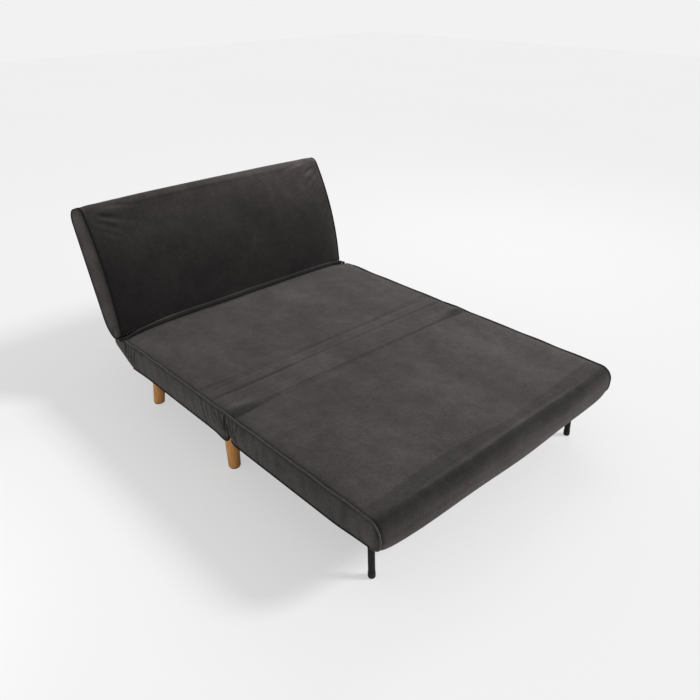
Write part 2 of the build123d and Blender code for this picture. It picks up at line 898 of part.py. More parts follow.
for side, side_name in sides:
    with BuildPart() as seat_leaf:
        fold_leaf(seat_plate_in, seat_plate_out, 1, seat_rail_bottom, seat_rail_top, side)
        screws_along_x(side, seat_plate_out, seat_leaf_screws, plate_wall, Mode.SUBTRACT)
    write(seat_leaf, f"fold_hinge_seat_leaf_{side_name}")
    with BuildPart() as foot_leaf:
        fold_leaf(foot_plate_in, foot_plate_out, -1, foot_rail_bottom, foot_rail_top, side)
        screws_along_x(side, foot_plate_out, foot_leaf_screws, plate_wall, Mode.SUBTRACT)
    write(foot_leaf, f"fold_hinge_foot_leaf_{side_name}")

# Fold hinge pins: a shank through both leaves with a head at each end
with BuildPart() as fold_hinge_pins:
    for side, _ in sides:
        inner = seat_plate_in - plate_gap
        outer = foot_plate_out + plate_gap
        for low, high, radius in (
            (inner - fold_head_height, inner, fold_head_diameter / 2),
            (inner, outer, fold_pin_diameter / 2),
            (outer, outer + fold_head_height, fold_head_diameter / 2),
        ):
            ends = sorted((side * low, side * high))
            disc_along_x(*ends, fold_y, fold_height, radius)
write(fold_hinge_pins, "fold_hinge_pins")

# Screws through the hinge leaves and recliner bases into the frame tubes
with BuildPart() as seat_frame_screws:
    for side, _ in sides:
        screws_along_x(
            side,
            seat_plate_out,
            seat_leaf_screws + base_screws,
            plate_wall + rail_wall + screw_tail,
        )
write(seat_frame_screws, "seat_frame_screws")
with BuildPart() as foot_frame_screws:
    for side, _ in sides:
        screws_along_x(
            side, foot_plate_out, foot_leaf_screws, plate_wall + rail_wall + screw_tail
        )
write(foot_frame_screws, "foot_frame_screws")

# Recliner bases on the seat frame: a bar out to the axis, ending in a notched disc
disc_shoulder = recline_disc_radius * disc_shoulder_share
pawl_pin_place = (back_rail_middle, pawl_reach)
pawl_distance = math.hypot(*pawl_pin_place)
pawl_angle = math.degrees(math.atan2(pawl_pin_place[1], pawl_pin_place[0]))
for side, side_name in sides:
    x_ends = sorted((side * seat_plate_in, side * seat_plate_out))
    with BuildPart() as recliner_base:
        with BuildSketch(side_plane(x_ends[0])):
            with Locations((recline_y, recline_height)):
                Circle(recline_disc_radius)
            with BuildLine():
                Polyline(
                    (recline_y, recline_height + disc_shoulder),
                    (recline_y, recline_height - disc_shoulder),
                    (recline_bar_front, seat_rail_bottom),
                    (recline_bar_front - base_foot_length, seat_rail_bottom),
                    (recline_bar_front - base_foot_length, seat_rail_top),
                    (recline_bar_front, seat_rail_top + recline_relief),
                    close=True,
                )
            make_face()
            with Locations((recline_y, recline_height)):
                Circle(recline_pin_diameter / 2 + running_fit, mode=Mode.SUBTRACT)
            for stop in recline_stops:
                angle = pawl_angle - back_lean - stop
                turn = math.radians(angle)
                notch_place = (
                    recline_y + recline_disc_radius * math.cos(turn),
                    recline_height + recline_disc_radius * math.sin(turn),
                )
                with Locations(Location((*notch_place, 0), (0, 0, angle))):
                    Rectangle(ratchet_notch_depth * 2, ratchet_notch_width, mode=Mode.SUBTRACT)
        extrude(amount=x_ends[1] - x_ends[0])
        screws_along_x(side, seat_plate_out, base_screws, plate_wall, Mode.SUBTRACT)
    write(recliner_base, f"recliner_base_{side_name}")

# Recliner arms on the back frame, from the axis up along the frame's side tube
arm_flank = tuple(recline_disc_radius * share for share in arm_flank_shares)
arm_screw_run = arm_bar_length - back_frame_bottom
arm_screws = [
    (
        recline_y + back_rail_middle * lean_cosine + up * lean_sine,
        recline_height - back_rail_middle * lean_sine + up * lean_cosine,
    )
    for up in (
        back_frame_bottom + arm_screw_run * screw_end_share,
        back_frame_bottom + arm_screw_run * (1 - screw_end_share),
    )
]
for side, side_name in sides:
    x_ends = sorted((side * arm_plate_in, side * arm_plate_out))
    with BuildPart() as recliner_arm:
        with BuildSketch(back_plane(x_ends[0])):
            Circle(recline_disc_radius)
            with BuildLine():
                Polyline(
                    (-arm_flank[0], arm_flank[1]),
                    (back_rail_front, back_frame_bottom),
                    (back_rail_front, arm_bar_length),
                    (back_rail_rear, arm_bar_length),
                    (back_rail_rear, back_frame_bottom * arm_heel_share),
                    (arm_flank[0], -arm_flank[1]),
                    close=True,
                )
            make_face()
            Circle(recline_pin_diameter / 2 + running_fit, mode=Mode.SUBTRACT)
            with Locations(pawl_pin_place):
                Circle(pawl_pin_diameter / 2 + running_fit, mode=Mode.SUBTRACT)
        extrude(amount=x_ends[1] - x_ends[0])
        screws_along_x(side, arm_plate_out, arm_screws, plate_wall, Mode.SUBTRACT)
    write(recliner_arm, f"recliner_arm_{side_name}")

# Screws through the recliner arms into the back frame
with BuildPart() as back_frame_screws:
    for side, _ in sides:
        screws_along_x(side, arm_plate_out, arm_screws, plate_wall + rail_wall + screw_tail)
write(back_frame_screws, "back_frame_screws")

# Recliner pins through base and arm
with BuildPart() as recliner_pins:
    for side, _ in sides:
        inner = arm_plate_in - plate_gap
        outer = seat_plate_out + plate_gap
        for low, high, radius in (
            (inner - recline_head_height + plate_gap, inner, recline_head_diameter / 2),
            (inner, outer, recline_pin_diameter / 2),
            (outer, outer + recline_head_height - plate_gap, recline_head_diameter / 2),
        ):
            ends = sorted((side * low, side * high))
            disc_along_x(*ends, recline_y, recline_height, radius)
write(recliner_pins, "recliner_pins")

# Pawls beside the arms: each hangs on its own pin, its tip just off the notched disc
tip_radius = recline_disc_radius + pawl_gap
for side, side_name in sides:
    x_ends = sorted((side * seat_plate_in, side * seat_plate_out))
    pin_ends = sorted((side * arm_plate_in, side * seat_plate_in))
    with BuildPart() as recliner_pawl:
        with BuildSketch(back_plane(x_ends[0])):
            with Locations(pawl_pin_place):
                Circle(pawl_width / 2)
            with Locations(Location((0, 0, 0), (0, 0, pawl_angle))):
                with Locations((pawl_distance / 2, 0)):
                    Rectangle(pawl_distance, pawl_bar_width)
            Circle(tip_radius, mode=Mode.SUBTRACT)
        extrude(amount=x_ends[1] - x_ends[0])
        with BuildSketch(back_plane(pin_ends[0])):
            with Locations(pawl_pin_place):
                Circle(pawl_pin_diameter / 2)
        extrude(amount=pin_ends[1] - pin_ends[0])
    write(recliner_pawl, f"recliner_pawl_{side_name}")


def cut_arm_relief():
    """Clears the recliner arm and pawl out of the back's cushion and cover."""
    for side, _ in sides:
        ends = sorted((side * plate_relief_in, side * plate_relief_out))
        with BuildSketch(back_plane(ends[0])) as relief:
            with BuildLine():
                Polyline(
                    (-tail_radius - recline_relief, -tail_radius),
                    (-tail_radius - recline_relief, back_frame_bottom * arm_slope_share),
                    (back_rail_front - recline_relief, back_frame_bottom),
                    (back_rail_front - recline_relief, arm_bar_length + recline_relief),
                    (back_rail_rear + recline_relief, arm_bar_length + recline_relief),
                    (back_rail_rear + recline_relief, 0),
                    (tail_radius, -tail_radius),
                    close=True,
                )
            make_face()
        extrude(relief.sketch, amount=ends[1] - ends[0], mode=Mode.SUBTRACT)


# Back cover
with BuildPart() as back_cover:
    back_form(0, Mode.ADD)
    back_form(cover_wall, Mode.SUBTRACT)
    cut_arm_relief()
write(back_cover, "back_cover")

# Back foams: the front cushion, and the rear pad with a tray for the frame
back_span = back_width + rail_width
back_top_cut = back_top + back_top_radius


def cut_back_slab(low, high, half, bottom, top):
    """Cuts a slab out of the back between two depths behind its recline axis."""
    with BuildSketch(back_plane(-half)) as slab:
        with Locations(((low + high) / 2, (bottom + top) / 2)):
            Rectangle(high - low, top - bottom)
    extrude(slab.sketch, amount=half * 2, mode=Mode.SUBTRACT)


back_frame_top = back_top - back_frame_top_setback
with BuildPart() as back_front_foam:
    back_form(cover_wall + soft_gap, Mode.ADD)
    cut_back_slab(
        back_rail_front - back_panel_thickness - pad_gap,
        back_rear_offset + back_top_radius,
        back_span,
        -back_top_radius,
        back_top_cut,
    )
    cut_arm_relief()
write(back_front_foam, "back_front_foam")

with BuildPart() as back_rear_foam:
    back_form(cover_wall + soft_gap, Mode.ADD)
    cut_back_slab(
        -back_front_offset - back_front_bulge * 2,
        back_rail_front - back_panel_thickness,
        back_span,
        -back_top_radius,
        back_top_cut,
    )
    cut_back_slab(
        back_rail_front - back_panel_thickness * 2,
        back_rail_rear + soft_gap,
        back_frame_half_width + soft_gap,
        back_frame_bottom - soft_gap,
        back_frame_top + soft_gap,
    )
    cut_arm_relief()
write(back_rear_foam, "back_rear_foam")


def back_tube(x_low, x_high, low, high, upright):
    """A tube of the back frame between two heights up the back, hollow along its length."""
    with BuildSketch(back_plane(x_low)) as outside:
        with Locations((back_rail_middle, (low + high) / 2)):
            Rectangle(back_rail_depth, high - low)
    extrude(outside.sketch, amount=x_high - x_low)
    end_wall = 0 if upright else rail_wall
    side_wall = rail_wall if upright else 0
    with BuildSketch(back_plane(x_low + side_wall)) as bore:
        with Locations((back_rail_middle, (low + high) / 2)):
            Rectangle(back_rail_depth - rail_wall * 2, high - low - end_wall * 2)
    extrude(bore.sketch, amount=x_high - x_low - side_wall * 2, mode=Mode.SUBTRACT)


# Back frame
for side, side_name in sides:
    ends = sorted((side * back_frame_half_width, side * (back_frame_half_width - rail_width)))
    with BuildPart() as rail:
        back_tube(*ends, back_frame_bottom, back_frame_top, True)
        screws_along_x(side, back_frame_half_width, arm_screws, rail_wall, Mode.SUBTRACT)
    write(rail, f"back_rail_{side_name}")
back_cross_half = back_frame_half_width - rail_width
for low, label in (
    (back_frame_bottom, "back_rail_bottom"),
    (back_frame_top - rail_depth, "back_rail_top"),
):
    with BuildPart() as rail:
        back_tube(-back_cross_half, back_cross_half, low, low + rail_depth, False)
    write(rail, label)

# Fibreboard panel fixed to the front of the back frame
with BuildPart() as back_panel:
    with BuildSketch(back_plane(-back_frame_half_width)):
        with Locations(
            (back_rail_front - back_panel_thickness / 2, (back_frame_bottom + back_frame_top) / 2)
        ):
            Rectangle(back_panel_thickness, back_frame_top - back_frame_bottom)
    extrude(amount=back_frame_half_width * 2)
write(back_panel, "back_panel")

# Fold-away metal legs: a crossbar turning in two brackets, with a tube leg at each end
crossbar_half = tube_leg_spread + tube_leg_diameter / 2
with BuildPart() as leg_crossbar:
    disc_along_x(
        -crossbar_half, crossbar_half, leg_pivot_y, tube_leg_pivot_height, crossbar_diameter / 2
    )
write(leg_crossbar, "foot_leg_crossbar")

leg_run = tube_leg_pivot_height * math.tan(math.radians(tube_leg_lean))
for side, side_name in sides:
    pivot = (side * tube_leg_spread, leg_pivot_y, tube_leg_pivot_height)
    down = Plane(origin=pivot, x_dir=(1, 0, 0), z_dir=(0, -leg_run, -tube_leg_pivot_height))
    to_floor = math.hypot(leg_run, tube_leg_pivot_height)
    with BuildPart() as tube_leg:
        with BuildSketch(down.offset(-tube_leg_top)):
            Circle(tube_leg_diameter / 2)
            Circle(tube_leg_diameter / 2 - tube_leg_wall, mode=Mode.SUBTRACT)
        extrude(amount=tube_leg_top + to_floor - tube_leg_cap_height)
        ends = sorted((side * (tube_leg_spread - leg_height), side * (tube_leg_spread + leg_height)))
        disc_along_x(
            *ends,
            leg_pivot_y,
            tube_leg_pivot_height,
            crossbar_diameter / 2 + running_fit,
            Mode.SUBTRACT,
        )
    write(tube_leg, f"foot_leg_{side_name}")
    with BuildPart() as foot_cap:
        with BuildSketch(down.offset(to_floor - tube_leg_cap_height)):
            Circle(tube_leg_cap_diameter / 2)
        extrude(amount=tube_leg_cap_height * 2)
        block_between(
            (-half_width, nose_y - nose_bow, -leg_height),
            (half_width, fold_y, 0),
            Mode.SUBTRACT,
        )
    write(foot_cap, f"foot_leg_cap_{side_name}")

# Brackets carrying the crossbar from the end tube of the foot frame
for side, side_name in sides:
    x_ends = sorted((side * leg_bracket_spread, side * (leg_bracket_spread + leg_bracket_wall)))
    ring = crossbar_diameter / 2 + leg_bracket_margin
    with BuildPart() as leg_bracket:
        with BuildSketch(side_plane(x_ends[0])):
            with Locations((leg_pivot_y, tube_leg_pivot_height)):
                Circle(ring)
            with BuildLine():
                Polyline(
                    (foot_frame_front + rail_width, foot_rail_bottom),
                    (foot_frame_front + rail_width, foot_rail_top),
                    (leg_pivot_y, tube_leg_pivot_height + ring),
                    (leg_pivot_y, foot_rail_bottom),
                    close=True,
                )
            make_face()
            with BuildLine():
                Polyline(
                    (foot_frame_front, foot_rail_bottom),
                    (foot_frame_front, foot_rail_bottom - ring),
                    (leg_pivot_y + ring, foot_rail_bottom - ring),
                    (leg_pivot_y + ring, foot_rail_bottom),
                    close=True,
                )
            make_face(mode=Mode.SUBTRACT)
            with Locations((leg_pivot_y, tube_leg_pivot_height)):
                Circle(crossbar_diameter / 2 + running_fit, mode=Mode.SUBTRACT)
        extrude(amount=leg_bracket_wall)
    write(leg_bracket, f"leg_bracket_{side_name}")
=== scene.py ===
"""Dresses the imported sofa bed: corduroy cushions with piping, turned wooden legs, black metal legs."""

import json
import math

import bmesh
import bpy
import numpy as np
from mathutils import Matrix, Vector


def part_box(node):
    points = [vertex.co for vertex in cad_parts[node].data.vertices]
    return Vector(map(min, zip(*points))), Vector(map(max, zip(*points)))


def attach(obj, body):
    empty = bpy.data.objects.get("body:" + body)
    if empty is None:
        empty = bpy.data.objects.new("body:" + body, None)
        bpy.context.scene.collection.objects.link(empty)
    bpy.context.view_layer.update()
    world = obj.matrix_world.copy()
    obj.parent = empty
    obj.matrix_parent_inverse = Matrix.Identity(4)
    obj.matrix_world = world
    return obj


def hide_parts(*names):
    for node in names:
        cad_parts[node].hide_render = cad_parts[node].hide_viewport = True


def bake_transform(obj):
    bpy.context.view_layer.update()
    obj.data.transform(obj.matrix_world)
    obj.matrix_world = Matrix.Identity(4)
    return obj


bl_info = {
    "name": "Corduroy Sofa Bed",
    "version": (1, 0, 0),
    "blender": (4, 5, 0),
    "location": "3D View > Sidebar > Sofa Bed",
    "description": "Builds the soft and hard pieces of a fold-out sofa bed around its frame",
    "category": "Object",
}

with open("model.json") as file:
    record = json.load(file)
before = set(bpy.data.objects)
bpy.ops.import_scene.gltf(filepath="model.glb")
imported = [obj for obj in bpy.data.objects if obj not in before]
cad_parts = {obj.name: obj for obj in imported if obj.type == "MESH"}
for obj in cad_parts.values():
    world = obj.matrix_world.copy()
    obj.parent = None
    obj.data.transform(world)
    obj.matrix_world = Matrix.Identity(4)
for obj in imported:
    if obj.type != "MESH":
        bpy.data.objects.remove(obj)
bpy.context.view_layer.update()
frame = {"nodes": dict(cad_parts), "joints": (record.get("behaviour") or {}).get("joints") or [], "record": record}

joint_place = {joint["name"]: joint["pos_m"] for joint in frame["joints"]}
FOLD = Vector(joint_place["foot_section_fold"])
RECLINE = Vector(joint_place["back_recline"])
seat_low, seat_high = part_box("seat_cover")
foot_low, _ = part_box("foot_cover")
_, back_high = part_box("back_cover")

# Seams, nose, fold and back of the upholstery, from the frame's boxes and joints
HALF_WIDTH = seat_high.x
TOP_SEAM = seat_high.z - 0.0045
BOTTOM_SEAM = seat_low.z - 0.004
DEPTH = TOP_SEAM - BOTTOM_SEAM
NOSE_BOW = 0.014
NOSE_Y = foot_low.y + NOSE_BOW
SEAT_REAR = RECLINE.y - 0.085
BACK_HALF = back_high.x
LEAN = math.radians(19.3)
TAIL_RADIUS = 0.015
TAIL_TOP = (RECLINE.y + 0.0041, RECLINE.z + 0.0144)
TAIL_LOW = (RECLINE.y + 0.0069, RECLINE.z - 0.0133)
GROOVE_Y = SEAT_REAR + 0.042

# Edges and outline steps of the cushions; the back's are measured from the recline axis
FOLD_GAP = 0.003
NOSE_TOP_RADIUS, NOSE_LOW_RADIUS = 0.045, 0.048
NOSE_STEPS = 15
EDGE_ROUNDING = 0.005
BACK_TOP, BACK_REAR, BACK_FRONT = 0.549, 0.097, -0.042
PANEL_UNEVENNESS = 0.0022
SIDE_ROWS = 12
FRINGE, FRINGE_STEPS = 0.06, 6

# The cloth simulation: its frames, air pressure, slack, and how far it may move each kind of panel
CLOTH_FRAMES = 20
AIR_PRESSURE = 4.0
CLOTH_SLACK = -0.05
SIDE_REACH, TOP_REACH = 0.0065, 0.0030
CORNER_REACH, BACK_REACH = 0.0006, 0.0050

# Soft creases across the bed by the fold: run from the fold line, shift at the sides, drop, width, seed
CREASES = (
    (0.158, -0.008, 0.0020, 0.0052, 0.7),
    (0.130, -0.004, 0.0007, 0.0040, 2.6),
    (0.099, -0.002, 0.0022, 0.0056, 1.9),
    (0.072, 0.004, 0.0006, 0.0040, 3.3),
    (-0.0245, -0.034, 0.0009, 0.0075, 3.1),
    (-0.0400, -0.030, 0.0008, 0.0060, 5.2),
)
# Puffs between the creases: run from the fold line to the middle, and half length
PUFFS = ((0.1285, 0.026), (0.037, 0.060))
PUFF_HEIGHT = 0.0012

# The fold hinges' place across the bed, and how far over the side seams the foam and the fold's axis lie
HINGE_X = 0.559
FOAM_TOP, FOLD_ROOM = 0.0025, 0.0048


def length_property(name, description, default):
    """A property that holds a length."""
    return bpy.props.FloatProperty(name=name, description=description, default=default, unit="LENGTH")


def colour_property(name, description, default):
    """A property that holds a colour."""
    return bpy.props.FloatVectorProperty(
        name=name, description=description, default=default, subtype="COLOR"
    )


class SofaSizes(bpy.types.PropertyGroup):
    crown: length_property("Crown", "Rise of the cushion tops", 0.0045)
    underside_crown: length_property(
        "Underside Crown", "How far the foot section's sitting side swells", 0.024
    )
    side_swell: length_property("Side Swell", "Outward swell of the side panels", 0.004)
    back_swell: length_property("Back Swell", "Extra swell across the back", 0.010)
    crease_depth: bpy.props.FloatProperty(
        name="Crease Depth", description="Strength of the creases at the fold", default=1.0, min=0, max=3
    )
    gather_depth: length_property("Gather Depth", "Depth of the gathers in the side panels", 0.0034)
    piping_radius: length_property("Piping Radius", "Radius of the corduroy piping", 0.0030)
    edging_radius: length_property("Edging Radius", "Radius of the black lower edging", 0.0032)
    wale_pitch: length_property("Wale Pitch", "Distance between the corduroy's ribs", 0.0058)
    leg_top: length_property("Leg Top Diameter", "Wooden leg at the seat", 0.054)
    leg_foot: length_property("Leg Foot Diameter", "Wooden leg at the floor", 0.045)


class SofaColours(bpy.types.PropertyGroup):
    corduroy: colour_property("Corduroy", "Bed and side panels", (0.0560, 0.0500, 0.0496))
    # the back's colour is the corduroy darkened as painted shade, with its pile running the other way
    back_corduroy: colour_property(
        "Back Corduroy", "Back, where the pile runs the other way", (0.0205, 0.0180, 0.0176)
    )
    edging: colour_property("Edging", "Black lower edging", (0.004, 0.004, 0.004))
    leg_wood: colour_property("Leg Wood", "Turned legs", (0.56, 0.262, 0.080))
    leg_steel: colour_property("Leg Steel", "Powder-coated legs", (0.0045, 0.0044, 0.0040))
    floor: colour_property("Floor", "Floor and backdrop", (0.80, 0.80, 0.80))


# Materials, made of nodes
def new_material(name):
    """A material with its node tree and its main shader."""
    material = bpy.data.materials.new(name)
    material.use_nodes = True
    tree = material.node_tree
    shader = tree.nodes["Principled BSDF"]
    return material, tree, shader


def add_node(tree, kind, **values):
    """A node with some of its settings."""
    node = tree.nodes.new(kind)
    for key, value in values.items():
        setattr(node, key, value)
    return node


def set_inputs(node, **values):
    """Sets unlinked inputs by name, with underscores for the spaces."""
    for name, value in values.items():
        node.inputs[name.replace("_", " ")].default_value = value


def math_node(tree, operation, first, second=None, third=None):
    """A sum, product or the like of sockets and numbers."""
    node = add_node(tree, "ShaderNodeMath", operation=operation)
    for slot, value in enumerate((first, second, third)):
        if value is None:
            continue
        if isinstance(value, (int, float)):
            node.inputs[slot].default_value = value
        else:
            tree.links.new(value, node.inputs[slot])
    return node.outputs[0]


def weighted_sum(tree, *terms):
    """The sum of sockets, each times its own weight."""
    total = None
    for socket, weight in terms:
        part = math_node(tree, "MULTIPLY", socket, weight)
        total = part if total is None else math_node(tree, "ADD", total, part)
    return total


def split_axes(tree, vector):
    """The X, Y and Z of a vector, as sockets by name."""
    node = add_node(tree, "ShaderNodeSeparateXYZ")
    tree.links.new(vector, node.inputs[0])
    return node.outputs


def object_place(tree):
    """A place in the object's own coordinates."""
    return add_node(tree, "ShaderNodeTexCoord").outputs["Object"]


def noise(tree, vector, scale, detail=3.0, roughness=0.5):
    """Soft random unevenness from 0 to 1."""
    node = add_node(tree, "ShaderNodeTexNoise")
    set_inputs(node, Scale=scale, Detail=detail, Roughness=roughness)
    tree.links.new(vector, node.inputs["Vector"])
    return node.outputs["Fac"]


def stretched(tree, vector, scale):
    """Coordinates scaled by their own factor along each axis."""
    node = add_node(tree, "ShaderNodeMapping")
    node.inputs["Scale"].default_value = scale
    tree.links.new(vector, node.inputs["Vector"])
    return node.outputs["Vector"]


def greys(*stops):
    """Ramp stops of plain grey, given as places and levels."""
    return tuple((place, (level,) * 3) for place, level in stops)


def colour_ramp(tree, factor, stops):
    """A colour that follows a factor from stop to stop."""
    node = add_node(tree, "ShaderNodeValToRGB")
    ramp = node.color_ramp
    while len(ramp.elements) < len(stops):
        ramp.elements.new(0.5)
    for element, (place, colour) in zip(ramp.elements, stops):
        element.position = place
        element.color = (*colour, 1)
    tree.links.new(factor, node.inputs["Fac"])
    return node.outputs["Color"]


def bump(tree, shader, height, strength, distance, under=None):
    """Relief on the shader's normal, over the relief under it."""
    node = add_node(tree, "ShaderNodeBump")
    set_inputs(node, Strength=strength, Distance=distance)
    tree.links.new(height, node.inputs["Height"])
    if under is not None:
        tree.links.new(under, node.inputs["Normal"])
    tree.links.new(node.outputs["Normal"], shader.inputs["Normal"])
    return node.outputs["Normal"]


def tint(colour, factor):
    """A colour made lighter or darker."""
    return tuple(min(1.0, channel * factor) for channel in colour)


def multiplied(tree, colour, by, amount):
    """One colour darkened or lightened by another."""
    mix = add_node(tree, "ShaderNodeMix", data_type="RGBA", blend_type="MULTIPLY")
    mix.inputs["Factor"].default_value = amount
    tree.links.new(colour, mix.inputs[6])
    tree.links.new(by, mix.inputs[7])
    return mix.outputs[2]


def bed_painted_light(tree, base, facing, place):
    """Painted light on the bed: painted shade where its top turns over the nose, and painted light growing towards
    its right.
    """
    # painted shade where the top turns forward over the nose, chosen by the way the surface faces
    forward = math_node(tree, "MULTIPLY", facing["Y"], -1.0)
    nose_shade = greys((0.010, 1.0), (0.045, 0.82), (0.26, 0.51), (0.60, 0.37)) + ((0.95, (0.62, 0.62, 0.61)),)
    base = multiplied(tree, base, colour_ramp(tree, forward, nose_shade), 1.0)
    return painted_side_light(tree, base, place, (0.78, 1.16))


def back_painted_light(tree, base, facing, place):
    """Painted light on the back: a painted highlight on its top, painted light on its sides and most on their
    lower part, painted shade at its foot, and painted light growing towards its right.
    """
    # painted highlight: the back made lighter where it faces upward, on its top
    rim = greys((0.36, 1.0), (0.50, 1.6), (0.75, 2.5), (0.95, 2.9))
    base = multiplied(tree, base, colour_ramp(tree, facing["Z"], rim), 1.0)
    sideways = math_node(tree, "ABSOLUTE", facing["X"])
    # painted light: the back's side panels made much lighter
    turned = colour_ramp(tree, sideways, ((0.3, (1.0, 1.0, 1.0)), (0.8, (3.9, 3.85, 3.75))))
    base = painted_side_light(tree, multiplied(tree, base, turned, 1.0), place, (0.62, 1.18))
    # painted light on the lower part of the back's sides
    below = math_node(tree, "SUBTRACT", 0.50, place["Z"])
    low_side = math_node(tree, "MULTIPLY", sideways, below)
    low_side_light = colour_ramp(tree, low_side, ((0.0, (1.0, 1.0, 1.0)), (0.20, (1.75, 1.72, 1.68))))
    base = multiplied(tree, base, low_side_light, 1.0)
    # painted shade: darker low down on the back, lighter towards its top
    return multiplied(tree, base, colour_ramp(tree, place["Z"], greys((0.30, 0.68), (0.75, 1.1))), 1.0)


def painted_side_light(tree, base, place, ends):
    """Painted light across the piece: darker at its left end and lighter at its right, as if lit from the right.
    """
    light_across = math_node(tree, "MULTIPLY_ADD", place["X"], 0.83, 0.5)
    return multiplied(tree, base, colour_ramp(tree, light_across, greys((0.0, ends[0]), (1.0, ends[1]))), 1.0)


def corduroy_material(name, colour, pitch, light_paint, sheen):
    """Ribbed pile: ribs across the panel's own U, mottling where the pile has been brushed."""
    material, tree, shader = new_material(name)
    along = split_axes(tree, add_node(tree, "ShaderNodeUVMap", uv_map="Panel").outputs["UV"])["X"]
    place = object_place(tree)
    wander = math_node(tree, "MULTIPLY", noise(tree, place, 14.0, 2.0), pitch * 0.25)
    phase = math_node(tree, "MULTIPLY", math_node(tree, "ADD", along, wander), 2 * math.pi / pitch)
    rib = math_node(tree, "MULTIPLY_ADD", math_node(tree, "SINE", phase), 0.5, 0.5)
    rib = math_node(tree, "POWER", rib, 0.6)
    fibre = noise(tree, place, 420.0, 3.0, 0.75)
    grain = noise(tree, place, 130.0, 4.0, 0.7)
    brushed = noise(tree, stretched(tree, place, (1.0, 0.6, 1.0)), 4.5, 7.0, 0.66)
    patches = noise(tree, place, 24.0, 5.0, 0.65)
    mottle = weighted_sum(tree, (brushed, 0.50), (patches, 0.28), (grain, 0.22))
    base = colour_ramp(
        tree, mottle, ((0.36, tint(colour, 0.62)), (0.50, colour), (0.64, tint(colour, 1.50)))
    )
    # painted shade in the grooves between the ribs
    base = multiplied(tree, base, colour_ramp(tree, rib, greys((0.0, 0.62), (0.75, 1.08))), 0.5)
    base = multiplied(tree, base, colour_ramp(tree, fibre, greys((0.32, 0.45), (0.68, 1.5))), 0.6)
    # painted shade near the seams, in the crevice behind the seat and on the underside of the hinge roll, from the
    # stored attribute
    seam = add_node(tree, "ShaderNodeAttribute", attribute_name="Seam").outputs["Fac"]
    base = multiplied(tree, base, colour_ramp(tree, seam, greys((0.0, 1.0), (0.85, 0.25))), 1.0)
    facing = split_axes(tree, add_node(tree, "ShaderNodeTexCoord").outputs["Normal"])
    # the base colour gets the piece's painted light and painted shade here
    tree.links.new(light_paint(tree, base, facing, split_axes(tree, place)), shader.inputs["Base Color"])
    set_inputs(shader, Roughness=0.95, Specular_IOR_Level=0.12)
    set_inputs(shader, Sheen_Weight=sheen, Sheen_Roughness=0.42, Sheen_Tint=(0.66, 0.595, 0.59, 1))
    lie = bump(tree, shader, mottle, 0.32, 0.010)
    pile = bump(tree, shader, rib, 0.42, 0.0010, under=lie)
    bump(tree, shader, grain, 0.5, 0.0016, under=pile)
    return material


def speckled_base(tree, shader, factor, colour, dark, light):
    """A base colour that wanders between a darker and a lighter shade of itself."""
    stops = ((dark[0], tint(colour, dark[1])), (light[0], tint(colour, light[1])))
    tree.links.new(colour_ramp(tree, factor, stops), shader.inputs["Base Color"])


def plain_cloth_material(name, colour, thread):
    """A flat woven cloth: two crossing sets of threads and a little lint."""
    material, tree, shader = new_material(name)
    place = object_place(tree)
    axes = split_axes(tree, place)
    turn = 2 * math.pi / thread
    warp, weft = (
        math_node(tree, "SINE", math_node(tree, "MULTIPLY", axes[axis], turn)) for axis in ("X", "Y")
    )
    weave = math_node(tree, "MULTIPLY_ADD", math_node(tree, "MULTIPLY", warp, weft), 0.5, 0.5)
    speckled_base(tree, shader, noise(tree, place, 40.0, 5.0, 0.6), colour, (0.35, 0.7), (0.65, 1.35))
    set_inputs(shader, Roughness=0.92, Specular_IOR_Level=0.10, Sheen_Weight=0.03)
    bump(tree, shader, weave, 0.4, thread * 0.3)
    return material


def piping_material(name, colour, sheen):
    """Corduroy wrapped round a cord: fine slanting ribs and worn highlights."""
    material, tree, shader = new_material(name)
    place = object_place(tree)
    axes = split_axes(tree, place)
    slant = weighted_sum(tree, (axes["Y"], 1.0), (axes["X"], 0.8), (axes["Z"], 0.9))
    wave = math_node(tree, "SINE", math_node(tree, "MULTIPLY", slant, 2 * math.pi / 0.0034))
    speckled_base(tree, shader, noise(tree, place, 55.0, 4.0, 0.6), colour, (0.32, 0.75), (0.68, 1.35))
    set_inputs(shader, Roughness=0.9, Specular_IOR_Level=0.12)
    set_inputs(shader, Sheen_Weight=sheen, Sheen_Roughness=0.45, Sheen_Tint=(0.66, 0.60, 0.59, 1))
    bump(tree, shader, wave, 0.35, 0.0006)
    return material


def wood_material(name, colour, along, contrast=1.0):
    """Straight-grained timber: stretched growth lines, flecks and a satin lacquer."""
    material, tree, shader = new_material(name)
    place = object_place(tree)
    squeeze = [1.0 if axis == along else 9.0 for axis in range(3)]
    grain = noise(tree, stretched(tree, place, [7 * s for s in squeeze]), 2.2, 7.0, 0.62)
    flecks = noise(tree, stretched(tree, place, [30 * s if s > 1 else 16 for s in squeeze]), 2.0, 2.0, 0.5)
    mixed = weighted_sum(tree, (grain, 0.62), (noise(tree, place, 9.0, 2.0), 0.38))
    growth = (
        (0.36, tint(colour, 1 - 0.38 * contrast)),
        (0.47, colour),
        (0.56, tint(colour, 1 + 0.16 * contrast)),
        (0.66, tint(colour, 1 - 0.12 * contrast)),
    )
    fleck_stops = ((0.40, (0.66, 0.60, 0.55)), (0.52, (1, 1, 1)))
    base = multiplied(tree, colour_ramp(tree, mixed, growth), colour_ramp(tree, flecks, fleck_stops), 0.5)
    tree.links.new(base, shader.inputs["Base Color"])
    lacquer = math_node(tree, "ADD", math_node(tree, "MULTIPLY", grain, 0.18), 0.36)
    tree.links.new(lacquer, shader.inputs["Roughness"])
    set_inputs(shader, Specular_IOR_Level=0.4)
    bump(tree, shader, grain, 0.12, 0.0008)
    return material


